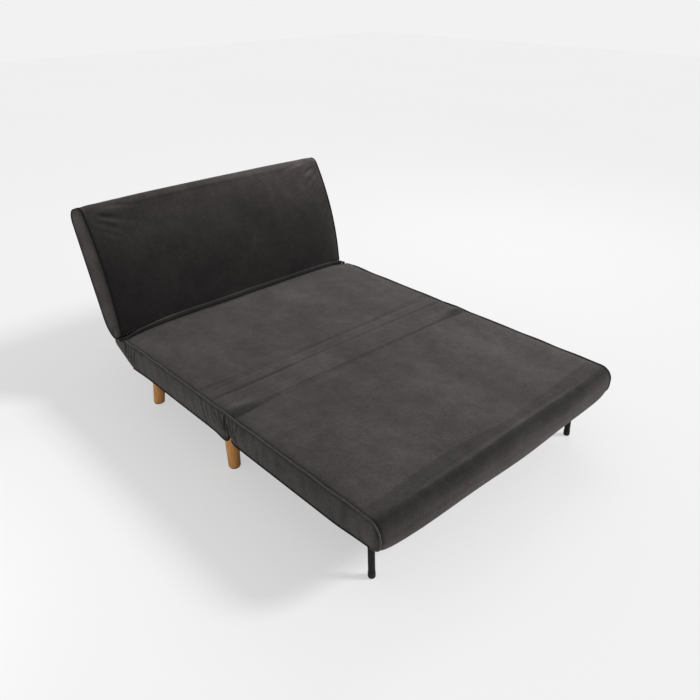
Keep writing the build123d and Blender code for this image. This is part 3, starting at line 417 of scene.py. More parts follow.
def metal_material(name, colour, metallic, roughness, speckle):
    """Coated or bare steel: a fine skin in the bump and uneven gloss."""
    material, tree, shader = new_material(name)
    place = object_place(tree)
    skin = noise(tree, place, speckle, 3.0, 0.6)
    wear = noise(tree, place, 18.0, 5.0, 0.6)
    speckled_base(tree, shader, wear, colour, (0.30, 0.85), (0.70, 1.2))
    set_inputs(shader, Metallic=metallic, Specular_IOR_Level=0.5 if metallic else 0.22)
    gloss = math_node(tree, "ADD", math_node(tree, "MULTIPLY", wear, 0.16), roughness - 0.08)
    tree.links.new(gloss, shader.inputs["Roughness"])
    bump(tree, shader, skin, 0.15, 0.0003)
    return material


def foam_material(name, colour):
    """Open-celled foam."""
    material, tree, shader = new_material(name)
    cells = add_node(tree, "ShaderNodeTexVoronoi")
    set_inputs(cells, Scale=380.0)
    tree.links.new(object_place(tree), cells.inputs["Vector"])
    speckled_base(tree, shader, cells.outputs["Distance"], colour, (0.0, 0.72), (0.5, 1.0))
    set_inputs(shader, Roughness=0.95)
    bump(tree, shader, cells.outputs["Distance"], 0.5, 0.001)
    return material


finishes = {}


def finish_of(name):
    """The material for one of the object's finishes, made once."""
    if name in finishes:
        return finishes[name]
    colours = bpy.context.scene.sofa_colours
    pitch = bpy.context.scene.sofa_sizes.wale_pitch
    recipes = {
        "bed corduroy": (corduroy_material, tuple(colours.corduroy), pitch, bed_painted_light, 0.24),
        "back corduroy": (corduroy_material, tuple(colours.back_corduroy), pitch, back_painted_light, 0.20),
        "corduroy piping": (piping_material, tint(colours.corduroy, 0.85), 0.26),
        "black edging": (piping_material, tuple(colours.edging), 0.05),
        "lining cloth": (plain_cloth_material, (0.012, 0.012, 0.013), 0.0011),
        # also used as painted shade on the seat's tail
        "dark gusset": (plain_cloth_material, (0.0105, 0.0092, 0.0088), 0.0014),
        "leg wood": (wood_material, tuple(colours.leg_wood), 2),
        "slat wood": (wood_material, (0.58, 0.41, 0.23), 0, 0.7),
        "panel board": (wood_material, (0.27, 0.17, 0.10), 0, 0.3),
        "leg steel": (metal_material, tuple(colours.leg_steel), 0.0, 0.55, 700.0),
        "frame steel": (metal_material, (0.022, 0.022, 0.024), 0.1, 0.5, 600.0),
        "hinge steel": (metal_material, (0.52, 0.52, 0.53), 1.0, 0.34, 260.0),
        "black plastic": (metal_material, (0.012, 0.012, 0.012), 0.0, 0.55, 420.0),
        "foam": (foam_material, (0.80, 0.74, 0.58)),
    }
    maker, *values = recipes[name]
    finishes[name] = maker(name, *values)
    return finishes[name]


SLOT_FINISHES = {
    "corduroy": "bed corduroy",
    "foam": "foam",
    "lining_cloth": "lining cloth",
    "frame_steel": "frame steel",
    "leg_steel": "leg steel",
    "hinge_steel": "hinge steel",
    "slat_wood": "slat wood",
    "leg_wood": "leg wood",
    "panel_board": "panel board",
    "black_plastic": "black plastic",
}


# Shape helpers
def ease(low, high, value):
    """A smooth step from 0 at low to 1 at high."""
    share = min(max((value - low) / (high - low), 0.0), 1.0)
    return share * share * (3 - 2 * share)


def ripple(x, y, seed=0.0):
    """Slow unevenness in roughly -1 to 1, the same each time."""
    return (
        math.sin(2.1 * x * 3.1 + 1.7 * y * 4.3 + seed)
        + math.sin(-3.7 * x * 2.3 + 2.9 * y * 5.1 + 2.3 * seed + 1.1)
        + math.sin(7.3 * x + 9.7 * y * 1.3 + 0.7 * seed + 2.9)
    ) / 3


def crown_share(distance):
    """How much of the crown has risen at a distance from the side seam."""
    return min(1.0, 1.05 * distance / (distance + 0.014))


def seam_dip(distance):
    """The shallow trough where the cloth is pulled down beside the piping."""
    return -0.0026 * math.exp(-(((distance - 0.006) / 0.0045) ** 2))


def crease_height(x, y):
    """Height of the soft creases across the bed near the fold, and of the puffs between them."""
    depth = bpy.context.scene.sofa_sizes.crease_depth
    run = y - FOLD.y
    side = abs(x) / HALF_WIDTH
    height = 0.0
    for place, shift, drop, width, seed in CREASES:
        centre = place + shift * side**6 + 0.0035 * math.sin(4.1 * x + seed)
        centre += 0.0016 * math.sin(15.0 * x + 2 * seed)
        strength = 0.62 + 0.28 * math.sin(5.3 * x + 1.7 * seed) + 0.18 * math.sin(13.7 * x + 3.1 * seed)
        height -= drop * strength * math.exp(-(((run - centre) / width) ** 2))
        height += 0.20 * drop * math.exp(-(((run - centre + 2.4 * width) / (1.7 * width)) ** 2))
    for middle, half in PUFFS:
        height += PUFF_HEIGHT * max(0.0, 1 - ((run - middle) / half) ** 2)
    return height * depth


def hinge_hump(x, y):
    """The cloth's rise over a fold hinge: steeper towards the side seam than away from it."""
    rise, reach_y = 0.0078, 0.026
    reach_x = 0.030 if abs(x) > HINGE_X else 0.070
    across = math.exp(-(((abs(x) - HINGE_X) / reach_x) ** 2))
    return rise * across * math.exp(-(((y - FOLD.y) / reach_y) ** 2))


def bed_top(x, y):
    """Height of the bed's top over its side seams, without the round ends."""
    distance = max(0.0, HALF_WIDTH - abs(x))
    sizes = bpy.context.scene.sofa_sizes
    share = crown_share(distance)
    height = sizes.crown * share + seam_dip(distance)
    height += crease_height(x, y) * (0.35 + 0.65 * ease(0.0, 0.05, distance))
    height += 0.0007 * ripple(x, y, 0.4) * share
    return level(x, height)


def level(x, height):
    """Keeps the bed's top between the foam below it and the fold's axis above it."""
    floor = FOAM_TOP * ease(0.02, 0.09, HALF_WIDTH - abs(x))
    return min(max(height, floor), FOLD_ROOM)


def side_half(z, y=0.0):
    """Half width of the bed at a place: drawn in a little low down, most at the nose."""
    share = min(max((TOP_SEAM - z) / DEPTH, 0.0), 1.0)
    nose = 1 - ease(NOSE_Y + 0.05, NOSE_Y + 0.20, y)
    rear = ease(SEAT_REAR - 0.16, SEAT_REAR + 0.01, y)
    return HALF_WIDTH - (0.003 + 0.007 * nose) * share**1.6 + 0.005 * rear


def spread(low, high, count):
    """Evenly spaced values, both ends included."""
    return [low + (high - low) * step / count for step in range(count + 1)]


def edge_stations(half, count=120):
    """Stations from side to side, closer together by the side seams."""
    fringe = [half - FRINGE * (step / FRINGE_STEPS) ** 1.3 for step in range(FRINGE_STEPS + 1)]
    middle = spread(half - FRINGE, -(half - FRINGE), count)[1:-1]
    return [-x for x in fringe] + [-x for x in middle] + list(reversed(fringe))


def profile_normals(points):
    """Outward normals of a closed side outline, given clockwise or not."""
    count = len(points)
    following = points[1:] + points[:1]
    area = sum(a[0] * b[1] - b[0] * a[1] for a, b in zip(points, following))
    sign = 1.0 if area > 0 else -1.0
    normals = []
    for index in range(count):
        before = points[index - 1]
        after = points[(index + 1) % count]
        run = Vector((after[0] - before[0], after[1] - before[1]))
        run = run.normalized() if run.length > 1e-9 else Vector((1, 0))
        normals.append((sign * run.y, -sign * run.x))
    return normals


def padded_form(name, columns, stations, wrap_place, side_place, finish, rows=SIDE_ROWS):
    """A closed cushion: one panel wrapped round the outline, and a panel filling each side.

    columns are pairs of outline points, one on each face. wrap_place(x, point, normal, index)
    and side_place(side, first, last, share) give each vertex its place."""
    last = len(columns) - 1
    loop = [pair[0] for pair in columns]
    end_a, end_b = columns[last]
    loop += [tuple(a + (b - a) * r / rows for a, b in zip(end_a, end_b)) for r in range(1, rows)]
    loop += [pair[1] for pair in reversed(columns)]
    end_b, end_a = columns[0][1], columns[0][0]
    loop += [tuple(b + (a - b) * r / rows for a, b in zip(end_a, end_b)) for r in range(1, rows)]
    normals = profile_normals(loop)
    count = len(loop)
    arc = [0.0]
    for index in range(1, count + 1):
        a, b = loop[index - 1], loop[index % count]
        arc.append(arc[-1] + math.hypot(b[0] - a[0], b[1] - a[1]))
    vertices, faces, panels = [], [], []
    for x in stations:
        for index, point in enumerate(loop):
            vertices.append(wrap_place(x, point, normals[index], index))
    for i in range(len(stations) - 1):
        for index in range(count):
            following = (index + 1) % count
            near, far = i * count, (i + 1) * count
            faces.append((near + index, near + following, far + following, far + index))
            u0, u1 = stations[i], stations[i + 1]
            v0, v1 = arc[index], arc[index + 1]
            panels.append(((u0, v0), (u0, v1), (u1, v1), (u1, v0)))
    bottom_start = last + rows
    for side, station in ((-1, 0), (1, len(stations) - 1)):
        grid = {}
        base = station * count
        for column in range(last + 1):
            grid[column, 0] = base + column
            grid[column, rows] = base + bottom_start + (last - column)
        for r in range(1, rows):
            grid[last, r] = base + last + r
            grid[0, r] = base + count - r
        for column in range(1, last):
            first, final = vertices[grid[column, 0]], vertices[grid[column, rows]]
            for r in range(1, rows):
                grid[column, r] = len(vertices)
                vertices.append(side_place(side, Vector(first), Vector(final), r / rows))
        for column in range(last):
            for r in range(rows):
                face = (grid[column, r], grid[column + 1, r], grid[column + 1, r + 1], grid[column, r + 1])
                faces.append(face)
                panels.append(tuple(side_uv(vertices[v]) for v in face))
    return mesh_object(name, vertices, faces, panels, finish)


def side_uv(vertex):
    """On a side panel the ribs stand upright, so U runs along the bed."""
    return (vertex[1], vertex[2])


def face_outwards(mesh, merged=False):
    """Turns a closed mesh's faces outwards, with its doubled vertices merged first where asked."""
    work = bmesh.new()
    work.from_mesh(mesh)
    if merged:
        bmesh.ops.remove_doubles(work, verts=work.verts, dist=1e-6)
    bmesh.ops.recalc_face_normals(work, faces=work.faces)
    work.to_mesh(mesh)
    work.free()


def ring_faces(rings, around):
    """Faces of a closed tube made of rings of vertices: its wall, then its two ends."""
    faces = []
    for ring in range(rings - 1):
        near, far = ring * around, (ring + 1) * around
        for k in range(around):
            following = (k + 1) % around
            faces.append((near + k, near + following, far + following, far + k))
    for base in (0, (rings - 1) * around):
        faces.append(tuple(range(base, base + around)))
    return faces


def mesh_object(name, vertices, faces, panels, finish):
    """A mesh object with outward faces, smooth shading and a panel UV map."""
    mesh = bpy.data.meshes.new(name)
    mesh.from_pydata([tuple(v) for v in vertices], [], faces)
    layer = mesh.uv_layers.new(name="Panel")
    corner = 0
    for panel in panels:
        for uv in panel:
            layer.data[corner].uv = uv
            corner += 1
    face_outwards(mesh, merged=True)
    mesh.shade_smooth()
    piece = bpy.data.objects.new(name, mesh)
    bpy.context.scene.collection.objects.link(piece)
    mesh.materials.append(finish_of(finish))
    return piece


def gathers(y, z):
    """Outward ripple of a side panel: folds that fan up from the notch, and a few at the rear."""
    depth = bpy.context.scene.sofa_sizes.gather_depth
    behind = 1 if y > FOLD.y else -1
    run, rise = abs(y - FOLD.y) - 0.026, z - (BOTTOM_SEAM + 0.010)
    turn = math.atan2(abs(run), max(rise, 0.001))
    reach = math.hypot(run, rise)
    strength = 1.0 if behind > 0 else 0.42
    fan = math.sin(19.0 * turn + 0.9 * math.sin(30 * reach) + (0.4 if behind > 0 else 2.1))
    fan *= math.exp(-((turn / 0.90) ** 4)) * ease(0.010, 0.035, reach) * (1 - 0.4 * ease(0.085, 0.125, reach))
    broad = math.sin(2 * math.pi * (run - 0.25 * rise) / 0.030 + 1.2)
    broad *= math.exp(-(((run - 0.125) / 0.050) ** 2))
    rear = math.sin(2 * math.pi * (y + 0.30 * rise) / 0.024)
    rear *= math.exp(-(((y - SEAT_REAR + 0.035) / 0.036) ** 2))
    slow = 0.25 * math.sin(2 * math.pi * y / 0.17 + 2.2 * rise / 0.05)
    slow += 0.12 * math.sin(2 * math.pi * y / 0.061 + 1.0)
    pleat = 0.0
    if behind < 0:
        pleat_low, pleat_high = 0.250, 0.285
        from_pleat = y - FOLD.y + 0.029 + 0.24 * (pleat_high - z)
        pleat = -1.6 * math.exp(-((from_pleat / 0.0036) ** 2)) * (1 - ease(pleat_low, pleat_high, z))
    return depth * (strength * fan + 0.35 * strength * broad + 0.7 * rear + slow + pleat)


def side_surface(y, z, share):
    """How far out a side panel stands at a place, share of the way down its height."""
    swell = math.sin(math.pi * min(max(share, 0.0), 1.0)) ** 0.6
    under_piping = 0.0022 * math.exp(-(((TOP_SEAM - z - 0.007) / 0.0045) ** 2))
    side_swell = bpy.context.scene.sofa_sizes.side_swell
    return side_half(z, y) + (side_swell + gathers(y, z)) * swell - under_piping


def bed_side(side, first, last, share):
    """Places a vertex of a bed section's side panel."""
    point = first.lerp(last, share)
    height = min(1.0, 1.2 * abs(first.z - last.z) / DEPTH)
    flat = side_half(point.z, point.y)
    out = flat + (side_surface(point.y, point.z, share) - flat) * height
    slit = math.exp(-(((point.y - SEAT_REAR + 0.006 - 0.22 * (TOP_SEAM - point.z)) / 0.0034) ** 2))
    point.x = side * (out - 0.006 * slit * math.sin(math.pi * share))
    return tuple(point)


def edge_height(past):
    """Height of a section's top edge, past the place where it begins to round over."""
    return TOP_SEAM - EDGE_ROUNDING * (1 - math.sqrt(max(0.0, 1 - (max(0.0, past) / EDGE_ROUNDING) ** 2)))


def foot_columns():
    """Outline of the foot section: nose, flat run, and rounded lower corner at the fold."""
    end_radius = 0.025
    top_centre, low_centre = TOP_SEAM - NOSE_TOP_RADIUS, BOTTOM_SEAM + NOSE_LOW_RADIUS
    columns = []
    for step in range(NOSE_STEPS):
        turn = math.pi / 2 * step / (NOSE_STEPS - 1)
        back, up = 1 - math.cos(turn), math.sin(turn)
        columns.append(
            (
                (NOSE_Y + NOSE_TOP_RADIUS * back, top_centre + NOSE_TOP_RADIUS * up),
                (NOSE_Y + NOSE_LOW_RADIUS * back, low_centre - NOSE_LOW_RADIUS * up),
            )
        )
    start, stop = NOSE_Y + NOSE_LOW_RADIUS, FOLD.y - FOLD_GAP - end_radius
    for y in spread(start, stop, 96)[1:]:
        columns.append(((y, TOP_SEAM), (y, BOTTOM_SEAM)))
    end = FOLD.y - FOLD_GAP
    for step in range(1, 13):
        turn = math.pi / 2 * step / 12
        low = (end - end_radius * (1 - math.sin(turn)), BOTTOM_SEAM + end_radius * (1 - math.cos(turn)))
        columns.append(((low[0], edge_height(low[0] - (end - EDGE_ROUNDING))), low))
    return columns


def hook_drop(y):
    """How far the seat's lower front corner hangs below its lower edge."""
    return 0.0085 * math.exp(-(((y - FOLD.y - 0.042) / 0.036) ** 2))


def seat_columns():
    """Outline of the seat: rounded corner at the fold, flat run, and the tail down to the hinge roll."""
    end_radius = 0.036
    start = FOLD.y + FOLD_GAP
    columns = []
    for step in range(13):
        turn = math.pi / 2 * (1 - step / 12)
        low_y = start + end_radius * (1 - math.sin(turn))
        low = (low_y, BOTTOM_SEAM + end_radius * (1 - math.cos(turn)) - hook_drop(low_y))
        columns.append(((low[0], edge_height(start + EDGE_ROUNDING - low[0])), low))
    low_start = start + end_radius
    run_top, run_low = GROOVE_Y - 0.006, SEAT_REAR - 0.021
    for share in spread(0, 1, 100)[1:]:
        low_y = low_start + (run_low - low_start) * share
        top_y = low_start + (run_top - low_start) * share
        columns.append(((top_y, TOP_SEAM), (low_y, BOTTOM_SEAM - hook_drop(low_y))))
    for turn in (15, 30, 45, 60, 75, 90):
        angle = math.radians(turn)
        columns.append(
            (
                (run_top + 0.005 * math.sin(angle), TOP_SEAM - 0.007 * (1 - math.cos(angle))),
                (run_low + 0.010 * turn / 90, BOTTOM_SEAM + 0.005 * turn / 90),
            )
        )
    from_top, from_low = (GROOVE_Y + 0.0005, TOP_SEAM - 0.0085), columns[-1][1]
    for share in spread(0, 1, 12):
        columns.append(
            (
                tuple(a + (b - a) * share for a, b in zip(from_top, TAIL_TOP)),
                tuple(a + (b - a) * (share + 0.02) / 1.02 for a, b in zip(from_low, TAIL_LOW)),
            )
        )
    for share in (0.35, 0.7, 0.95):
        angles = (math.radians(74 - 66 * share), math.radians(-62 + 54 * share))
        columns.append(
            tuple(
                (RECLINE.y + TAIL_RADIUS * math.cos(angle), RECLINE.z + TAIL_RADIUS * math.sin(angle))
                for angle in angles
            )
        )
    return columns


def foot_wrap(x, point, normal, index):
    """Places a vertex of the foot section's wrapped panel."""
    sizes = bpy.context.scene.sofa_sizes
    y, z = point
    station = x / HALF_WIDTH
    distance = HALF_WIDTH - abs(x)
    share = crown_share(distance)
    top = ease(0.2, 0.95, normal[1])
    low = ease(0.2, 0.95, -normal[1])
    nose = ease(0.1, 0.9, -normal[0]) * (1 if y < NOSE_Y + 0.06 else 0)
    by_fold = 1 - ease(0.0, 0.10, FOLD.y - FOLD_GAP - y)
    by_nose = 1 - ease(0.0, 0.12, y - NOSE_Y)
    along = min(1.0, 1.05 * (y - NOSE_Y + 0.035) / (y - NOSE_Y + 0.08))
    low_rise = sizes.underside_crown * share**1.3 * along * (1 - 0.85 * by_fold)
    nose_rise = (NOSE_BOW - 0.001) * (1 - station * station) ** 0.8 + 0.004 * share
    rise = nose * nose_rise + low * low_rise + top * bed_top(x, y)
    rise += PANEL_UNEVENNESS * ripple(x * 1.6, z * 3.0 + y, 2.2) * nose * share
    roll = by_nose * top * 0.0016 * math.sin(9 * x + 1.0) * share
    roll -= top * 0.0026 * (1 - ease(0.02, 0.13, y - NOSE_Y)) * share
    return (
        station * side_half(z, y),
        y + normal[0] * rise * (1 - top * 0.9),
        z + normal[1] * rise + roll,
    )


def corner_droop(x, y):
    """How far the seat's rear right corner hangs down."""
    return 0.0065 * ease(0.50, 0.598, x) * ease(SEAT_REAR - 0.045, SEAT_REAR + 0.010, y)


# Outline points on the seat's upper face: rounded end, flat run, dip, slope and hinge round
SEAT_TOP_COLUMNS = 13 + 100 + 6 + 13 + 3


def seat_wrap(x, point, normal, index):
    """Places a vertex of the seat's wrapped panel."""
    y, z = point
    station = x / HALF_WIDTH
    top = ease(0.2, 0.95, normal[1]) if y < GROOVE_Y - 0.01 else 1.0
    shift = (groove_line(x) - GROOVE_Y) * ease(SEAT_REAR - 0.12, GROOVE_Y - 0.004, y)
    shift *= 1 - ease(GROOVE_Y, RECLINE.y - 0.008, y)
    upper = ease(TOP_SEAM - 0.075, TOP_SEAM - 0.03, z)
    on_top = 1 if index < SEAT_TOP_COLUMNS else 0
    fall = 1 - ease(GROOVE_Y - 0.014, GROOVE_Y + 0.001, y)
    rise = bed_top(x, y) * fall
    place_y = y + shift * upper * on_top
    height = z + rise * on_top * top
    height -= corner_droop(x, place_y) * on_top
    if on_top and place_y > SEAT_REAR - 0.06:
        height = max(height, tail_line(place_y) + 0.0006)
    return (station * side_half(z, place_y), place_y, height)


def tail_line(y):
    """Height of the firm inside of the seat behind its flat top."""
    share = min(max((y - SEAT_REAR) / (TAIL_TOP[0] - SEAT_REAR), 0.0), 1.0)
    return TOP_SEAM + (TAIL_TOP[1] - TOP_SEAM) * share


def groove_line(x):
    """Where the seat's top dips to meet the hinge roll: further forward at the sides."""
    side = abs(x) / HALF_WIDTH
    if x < 0:
        return SEAT_REAR + 0.041 - 0.036 * side**5
    return SEAT_REAR + 0.044 - 0.016 * side**8


# The back, set out in its own plane from the recline axis
def back_point(through, up):
    """A point of the back, given how far behind the axis and how far up the back it lies."""
    return (
        RECLINE.y + through * math.cos(LEAN) + up * math.sin(LEAN),
        RECLINE.z - through * math.sin(LEAN) + up * math.cos(LEAN),
    )


def back_front_edge(up):
    """Front of the back's side outline: a long shallow bulge."""
    share = min(max((up - 0.054) / (0.519 - 0.054), 0.0), 1.0)
    return BACK_FRONT - 0.027 * 4 * share * (1 - share)


def back_columns():
    """Outline of the back as pairs of front and rear points, from the heel to the top."""
    columns = []
    front_edge, rear_edge, start_turn = 0.030, 0.050, math.radians(13)
    front_arc = front_edge / (1 - math.sin(start_turn))
    for step in range(9):
        turn = math.pi / 2 * step / 8
        front = (-0.020 - 0.022 * math.sin(turn), 0.0245 + front_edge * (1 - math.cos(turn)))
        share = step / 8
        rear = (
            0.028 + (BACK_REAR - 0.028) * math.sin(turn * 0.98) ** 1.1,
            0.009 + 0.091 * (1 - math.cos(turn * 0.98)) ** 1.05,
        )
        columns.append((front, rear))
    for share in spread(0, 1, 76)[1:]:
        front_up = 0.0545 + (BACK_TOP - front_edge - 0.0545) * share
        rear_up = 0.100 + (BACK_TOP - rear_edge - 0.100) * share
        columns.append(((back_front_edge(front_up), front_up), (BACK_REAR, rear_up)))
    for step in range(1, 13):
        turn = math.pi / 2 * step / 12
        bend = start_turn + (math.pi / 2 - start_turn) * step / 12
        front = (
            BACK_FRONT + front_arc * (math.cos(start_turn) - math.cos(bend)),
            BACK_TOP - front_arc * (1 - math.sin(bend)),
        )
        rear = (
            BACK_REAR - rear_edge * (1 - math.cos(turn)),
            BACK_TOP - rear_edge + rear_edge * math.sin(turn),
        )
        columns.append((front, rear))
    return columns


def back_wrap(x, point, normal, index):
    """Places a vertex of the back's wrapped panel."""
    swell = bpy.context.scene.sofa_sizes.back_swell
    through, up = point
    station = x / BACK_HALF
    distance = BACK_HALF - abs(x)
    share = crown_share(distance)
    front = ease(0.1, 0.9, -normal[0])
    rear = ease(0.1, 0.9, normal[0])
    top = ease(0.2, 0.95, normal[1])
    unevenness = PANEL_UNEVENNESS * ripple(x * 1.3, up * 1.5, 1.4)
    rise = front * (swell * share + seam_dip(distance) + unevenness * share)
    rise += rear * 0.006 * share
    rise += top * (0.0035 * share + 0.0095 * (1 - station**4) + 0.0012 * ripple(x * 1.5, 0.0, 3.0))
    through += normal[0] * rise
    up += normal[1] * rise * (1 if normal[1] > 0 else 0.15)
    y, z = back_point(through, up)
    return (x, y, z)


def back_side(side, first, last, share):
    """Places a vertex of the back's side panel."""
    point = first.lerp(last, share)
    swell = math.sin(math.pi * share) ** 0.7
    up = (point.z - RECLINE.z) / math.cos(LEAN)
    ripple_out = 0.0016 * math.sin(2 * math.pi * up / 0.12 + 3 * share) * swell
    low = math.exp(-((up / 0.10) ** 2))
    folds = 0.0022 * math.sin(2 * math.pi * (share * 2.1 + up / 0.07)) * low * swell
    point.x = side * (BACK_HALF + 0.004 * swell + ripple_out + folds)
    return tuple(point)


def in_back_plane(place):
    """How far a place lies behind the recline axis and how far up the back."""
    behind, over = place.y - RECLINE.y, place.z - RECLINE.z
    through = behind * math.cos(LEAN) - over * math.sin(LEAN)
    return through, over * math.cos(LEAN) + behind * math.sin(LEAN)


def back_hold(place):
    """Where the back's cloth is fixed: round its side seams and along its foot."""
    through, up = in_back_plane(place)
    hold = 1 - ease(0.02, 0.07, up)
    on_side = abs(abs(place.x) - BACK_HALF) < 0.012
    if on_side:
        edge = min(abs(through - back_front_edge(up)), abs(BACK_REAR - through), abs(BACK_TOP - up))
        hold = max(hold, 1 - ease(0.003, 0.010, edge))
    return hold


def back_loose(place):
    """Where the back's cloth has slack: near its side seams and its top."""
    return 0.12 + 0.30 * (1 - ease(0.02, 0.12, BACK_HALF - abs(place.x)))


def settle(piece, hold_of, loose_of, cap_of):
    """Lets a cushion's cloth settle under a little air pressure, held at its seams."""
    scene = bpy.context.scene
    mesh = piece.data
    trial = bpy.data.objects.new("settling", mesh.copy())
    scene.collection.objects.link(trial)
    for group_name, weight_of in (("held", hold_of), ("loose", loose_of)):
        group = trial.vertex_groups.new(name=group_name)
        for vertex in mesh.vertices:
            weight = weight_of(vertex.co)
            if weight > 0:
                group.add([vertex.index], weight, "REPLACE")
    cloth = trial.modifiers.new("Cloth", "CLOTH")
    behaviour = {
        "quality": 3,
        "mass": 0.15,
        "air_damping": 1.0,
        "tension_stiffness": 12,
        "compression_stiffness": 12,
        "shear_stiffness": 4,
        "bending_stiffness": 0.25,
        "use_pressure": True,
        "uniform_pressure_force": AIR_PRESSURE,
        "vertex_group_mass": "held",
        "pin_stiffness": 1,
        "vertex_group_shrink": "loose",
        "shrink_min": 0,
        "shrink_max": CLOTH_SLACK,
    }
    for setting, value in behaviour.items():
        setattr(cloth.settings, setting, value)
    cloth.settings.effector_weights.gravity = 0
    cloth.collision_settings.use_collision = False
    cloth.point_cache.frame_start, cloth.point_cache.frame_end = 1, CLOTH_FRAMES
    for step in range(1, CLOTH_FRAMES + 1):
        scene.frame_set(step)
    settled = trial.evaluated_get(bpy.context.evaluated_depsgraph_get()).to_mesh()
    moved = []
    for vertex, after in zip(mesh.vertices, settled.vertices):
        step = after.co - vertex.co
        limit = cap_of(vertex.co)
        if step.length > limit:
            step *= limit / step.length
        moved.append(step.length)
        on_bed_top = TOP_SEAM + 0.0020 < vertex.co.z < TOP_SEAM + 0.010
        vertex.co += step
        if on_bed_top:
            vertex.co.z = TOP_SEAM + level(vertex.co.x, vertex.co.z - TOP_SEAM)
    scene.frame_set(1)
    bpy.data.objects.remove(trial, do_unlink=True)
    mean, most = 1000 * sum(moved) / len(moved), 1000 * max(moved)
    print(f"settled {piece.name}: mean {mean:.2f} mm, most {most:.2f} mm")


def bed_hold(place):
    """Where the bed's cloth is fixed: seams, underside, the fold and the hinge roll."""
    from_side = max(0.0, side_half(place.z, place.y) - abs(place.x))
    near_seam = min(abs(place.z - TOP_SEAM) + from_side, abs(place.z - BOTTOM_SEAM))
    hold = 1 - ease(0.001, 0.006, near_seam)
    creased = 0.170 if place.y > FOLD.y else 0.052
    if place.z > TOP_SEAM - 0.004:
        hold = max(hold, 1 - ease(creased, creased + 0.03, abs(place.y - FOLD.y)))
    hold = max(hold, 1 - ease(0.004, 0.010, abs(place.y - FOLD.y)))
    hold = max(hold, ease(SEAT_REAR - 0.02, SEAT_REAR + 0.02, place.y))
    return max(hold, 1.0 if place.z < BOTTOM_SEAM + 0.004 and place.y > FOLD.y else 0.0)


def bed_loose(place):
    """Where the bed's cloth was cut with slack: the side panels, most of all by the fold."""
    on_side = 1 - ease(0.004, 0.030, side_half(place.z, place.y) - abs(place.x))
    by_fold = math.exp(-(((place.y - FOLD.y - 0.03) / 0.13) ** 2))
    return min(1.0, on_side * (0.35 + 0.65 * by_fold))


def bed_cap(place):
    """How far the bed's cloth may move: not at all at the nose."""
    reach = SIDE_REACH if side_half(place.z, place.y) - abs(place.x) < 0.008 else TOP_REACH
    return reach * ease(0.03, 0.12, place.y - NOSE_Y)


def back_cap(place):
    """How far the back's cloth may move: least at its top corners, where the foam lies close."""
    _, up = in_back_plane(place)
    corner = math.hypot(BACK_HALF - abs(place.x), BACK_TOP - up)
    return CORNER_REACH + (BACK_REACH - CORNER_REACH) * ease(0.03, 0.11, corner)


def piece_on(piece, body, slot, *nodes):
    """Fixes a finished piece to its body and hides the nodes it stands for; its slot is not used."""
    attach(piece, body)
    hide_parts(*nodes)


class SofaSeatCushion(bpy.types.Operator):
    """Build the seat's corduroy cushion"""

    bl_idname = "object.sofa_seat_cushion"
    bl_label = "Seat Cushion"

    def execute(self, context):
        piece = padded_form(
            "seat_cushion",
            seat_columns(),
            edge_stations(HALF_WIDTH),
            seat_wrap,
            bed_side,
            "bed corduroy",
        )
        settle(piece, bed_hold, bed_loose, bed_cap)
        paint_seam_shade(piece, seat_seams)
        paint_tail_shade(piece)
        piece_on(piece, "seat", "corduroy", "seat_cover")
        return {"FINISHED"}


class SofaFootCushion(bpy.types.Operator):
    """Build the foot section's corduroy cushion"""

    bl_idname = "object.sofa_foot_cushion"
    bl_label = "Foot Section Cushion"

    def execute(self, context):
        piece = padded_form(
            "foot_cushion",
            foot_columns(),
            edge_stations(HALF_WIDTH),
            foot_wrap,
            bed_side,
            "bed corduroy",
        )
        settle(piece, bed_hold, bed_loose, bed_cap)
        paint_seam_shade(piece, bed_seams)
        piece_on(piece, "foot_section", "corduroy", "foot_cover")
        return {"FINISHED"}


class SofaBackCushion(bpy.types.Operator):
    """Build the back's corduroy cushion"""

    bl_idname = "object.sofa_back_cushion"
    bl_label = "Back Cushion"

    def execute(self, context):
        piece = padded_form(
            "back_cushion",
            back_columns(),
            edge_stations(BACK_HALF, 110),
            back_wrap,
            back_side,
            "back corduroy",
        )
        settle(piece, back_hold, back_loose, back_cap)
        # painted shade along the back's side seams
        paint_seam_shade(piece, lambda place: 2.2 * abs(BACK_HALF - abs(place.x)))
        piece_on(piece, "back", "corduroy", "back_cover")
        return {"FINISHED"}


def sheet_shell(name, rows, finish, thickness=0.0012):
    """A thin closed cloth from a grid of points, given as rows of places."""
    height, width = len(rows), len(rows[0])
    vertices = [Vector(p) for row in rows for p in row]
    faces, panels = [], []
    for r in range(height - 1):
        for c in range(width - 1):
            face = (r * width + c, r * width + c + 1, (r + 1) * width + c + 1, (r + 1) * width + c)
            faces.append(face)
            panels.append(tuple((vertices[v].x, vertices[v].y) for v in face))
    piece = mesh_object(name, vertices, faces, panels, finish)
    solid = piece.modifiers.new("Thickness", "SOLIDIFY")
    solid.thickness = thickness
    solid.offset = -1
    flatten(piece)
    return piece


def flatten(piece):
    """Turns a piece's modifiers into plain mesh."""
    graph = bpy.context.evaluated_depsgraph_get()
    shaped = piece.evaluated_get(graph)
    mesh = bpy.data.meshes.new_from_object(shaped, preserve_all_data_layers=True, depsgraph=graph)
    piece.modifiers.clear()
    piece.data = mesh


def over_fold(piece, slot, **form):
    """Bakes the place of a sheet over the fold into its mesh."""
    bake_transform(piece)


def band_rows(reach):
    """Places of the cloth over the fold: just over the cushions, and under them at its rims."""
    lift, tuck = 0.0007, 0.0009
    rows = []
    for step in spread(-reach, reach, 44):
        rim = ease(0.42 * reach, reach, abs(step))
        y = FOLD.y + step
        row = []
        for x in edge_stations(HALF_WIDTH - 0.0012):
            z = TOP_SEAM + bed_top(x, y) + hinge_hump(x, y)
            row.append((x, y, z + lift * (1 - rim) - tuck * rim))
        rows.append(row)
    return rows


